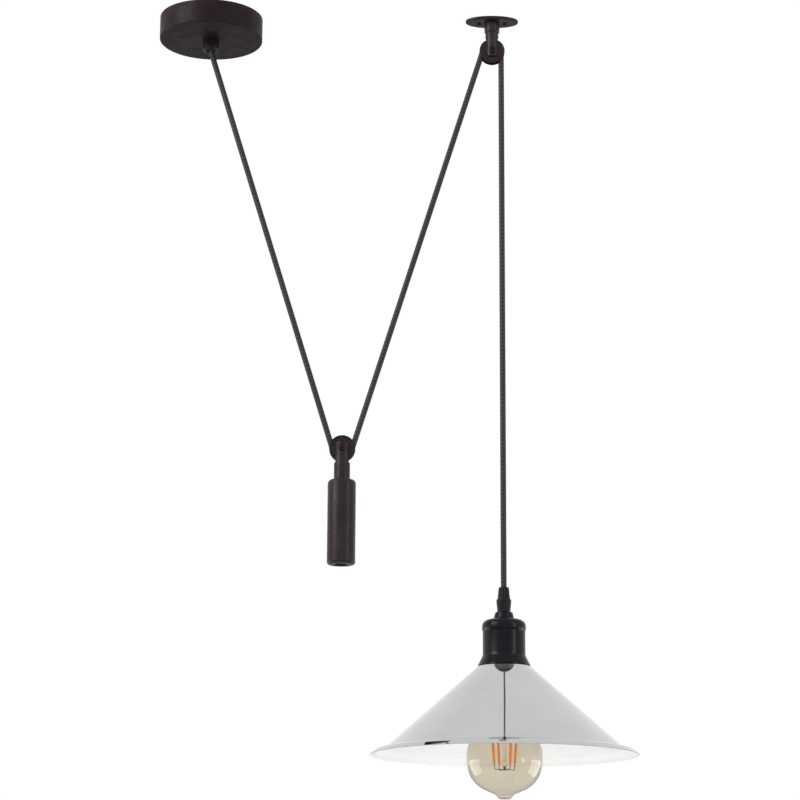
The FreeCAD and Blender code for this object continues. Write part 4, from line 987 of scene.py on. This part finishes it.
def softbox(name, place, target, width, height, power):
    light = bpy.data.lights.new(name, "AREA")
    light.shape = "RECTANGLE"
    light.size = width
    light.size_y = height
    light.energy = power
    lamp = bpy.data.objects.new(name, light)
    bpy.context.scene.collection.objects.link(lamp)
    lamp.location = place
    lamp.visible_camera = False
    lamp.visible_transmission = False
    lamp.rotation_euler = (Vector(target) - Vector(place)).to_track_quat("-Z", "Y").to_euler()
    return lamp


def studio_world():
    """Even soft light, and the same white all round for the camera, metal and glass."""
    world = bpy.data.worlds.new("pale_studio")
    bpy.context.scene.world = world
    world.use_nodes = True
    tree = world.node_tree
    tree.nodes.clear()
    rays = node(tree, "LightPath")
    white = node(tree, "Background", {"Color": (1.0, 1.0, 1.0, 1.0), "Strength": 1.0})
    soft = node(tree, "Background", {"Color": (1.0, 1.0, 1.0, 1.0), "Strength": SOFT_LIGHT})
    metal, glass = rays.outputs["Is Glossy Ray"], rays.outputs["Is Transmission Ray"]
    seen = maths(tree, "MAXIMUM", rays.outputs["Is Camera Ray"], maths(tree, "MAXIMUM", metal, glass))
    shown = node(tree, "MixShader", {0: seen, 1: soft.outputs[0], 2: white.outputs[0]})
    output = node(tree, "OutputWorld")
    tree.links.new(shown.outputs[0], output.inputs["Surface"])


def pale_floor():
    """Large pale floor under the pendant."""
    mesh = bpy.data.meshes.new("pale_floor")
    half = FLOOR_HALF
    mesh.from_pydata(
        [(-half, -half, FLOOR_Z), (half, -half, FLOOR_Z), (half, half, FLOOR_Z), (-half, half, FLOOR_Z)],
        [], [(0, 1, 2, 3)],
    )
    floor = bpy.data.objects.new("pale_floor", mesh)
    bpy.context.scene.collection.objects.link(floor)
    finish_made, _, shader = new_finish("pale_floor")
    shader.inputs["Base Color"].default_value = rgba(colours().floor)
    shader.inputs["Roughness"].default_value = 0.9
    mesh.materials.append(finish_made)


class PENDANT_OT_studio(bpy.types.Operator):
    """Sets up the camera, the soft lights, the world and the floor"""

    bl_idname = "pendant.studio"
    bl_label = "Studio"

    def execute(self, context):
        scene = context.scene
        scene.view_settings.view_transform = "Standard"
        studio_world()
        pale_floor()
        softbox("left_softbox", (-1.65, -1.15, 0.62), (0.2, 0.0, 0.3), width=1.25, height=1.6, power=44.0)
        softbox("right_softbox", (2.1, -1.3, 0.0), (0.2, 0.0, -0.45), width=0.6, height=2.2, power=15.0)
        low = softbox("low_softbox", (0.3, -0.15, -1.55), (0.3, 0.0, -0.7), width=0.6, height=0.6, power=3.6)
        low.visible_glossy = False
        for name, across in (("left_window", -1.7), ("right_window", 2.3)):
            opposite = (0.3, 0.8, -1.28)
            window = softbox(name, (across, 0.8, -1.28), opposite, width=2.0, height=1.45, power=27.0)
            window.visible_diffuse = False
        view = bpy.data.cameras.new("photograph_view")
        view.lens = CAMERA_LENS
        view.sensor_width = 36.0
        view.clip_start = 0.05
        view.clip_end = 90.0
        camera = bpy.data.objects.new("photograph_view", view)
        scene.collection.objects.link(camera)
        camera.location = CAMERA_PLACE
        aim = Matrix.Rotation(math.radians(90 + CAMERA_PITCH), 4, "X")
        camera.rotation_euler = (aim @ Matrix.Rotation(math.radians(CAMERA_ROLL), 4, "Z")).to_euler()
        scene.camera = camera
        return {"FINISHED"}


# ---- Panel and registration ----

STEPS = (
    PENDANT_OT_studio, PENDANT_OT_flex, PENDANT_OT_canopy, PENDANT_OT_ceiling_pulley,
    PENDANT_OT_counterweight, PENDANT_OT_lamp, PENDANT_OT_bulb,
)


class PENDANT_PT_panel(bpy.types.Panel):
    """Lists the steps that build the pendant, and what a user may change"""

    bl_label = "Rise and fall pendant"
    bl_idname = "PENDANT_PT_panel"
    bl_space_type = "VIEW_3D"
    bl_region_type = "UI"
    bl_category = "Pendant"

    def draw(self, context):
        layout = self.layout
        for step in STEPS:
            layout.operator(step.bl_idname)
        for group in (context.scene.pendant_sizes, context.scene.pendant_colours):
            box = layout.box()
            for key in group.__annotations__:
                box.prop(group, key)


CLASSES = (PendantSizes, PendantColours) + STEPS + (PENDANT_PT_panel,)


def register():
    for made in CLASSES:
        bpy.utils.register_class(made)
    bpy.types.Scene.pendant_sizes = PointerProperty(type=PendantSizes)
    bpy.types.Scene.pendant_colours = PointerProperty(type=PendantColours)


def unregister():
    del bpy.types.Scene.pendant_colours
    del bpy.types.Scene.pendant_sizes
    for made in reversed(CLASSES):
        bpy.utils.unregister_class(made)


def write_sizes():
    """Updates the scene."""
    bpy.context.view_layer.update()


def main():
    register()
    for step in STEPS:
        group, _, name = step.bl_idname.partition(".")
        getattr(getattr(bpy.ops, group), name)()
    write_sizes()


if __name__ == "__main__":
    main()
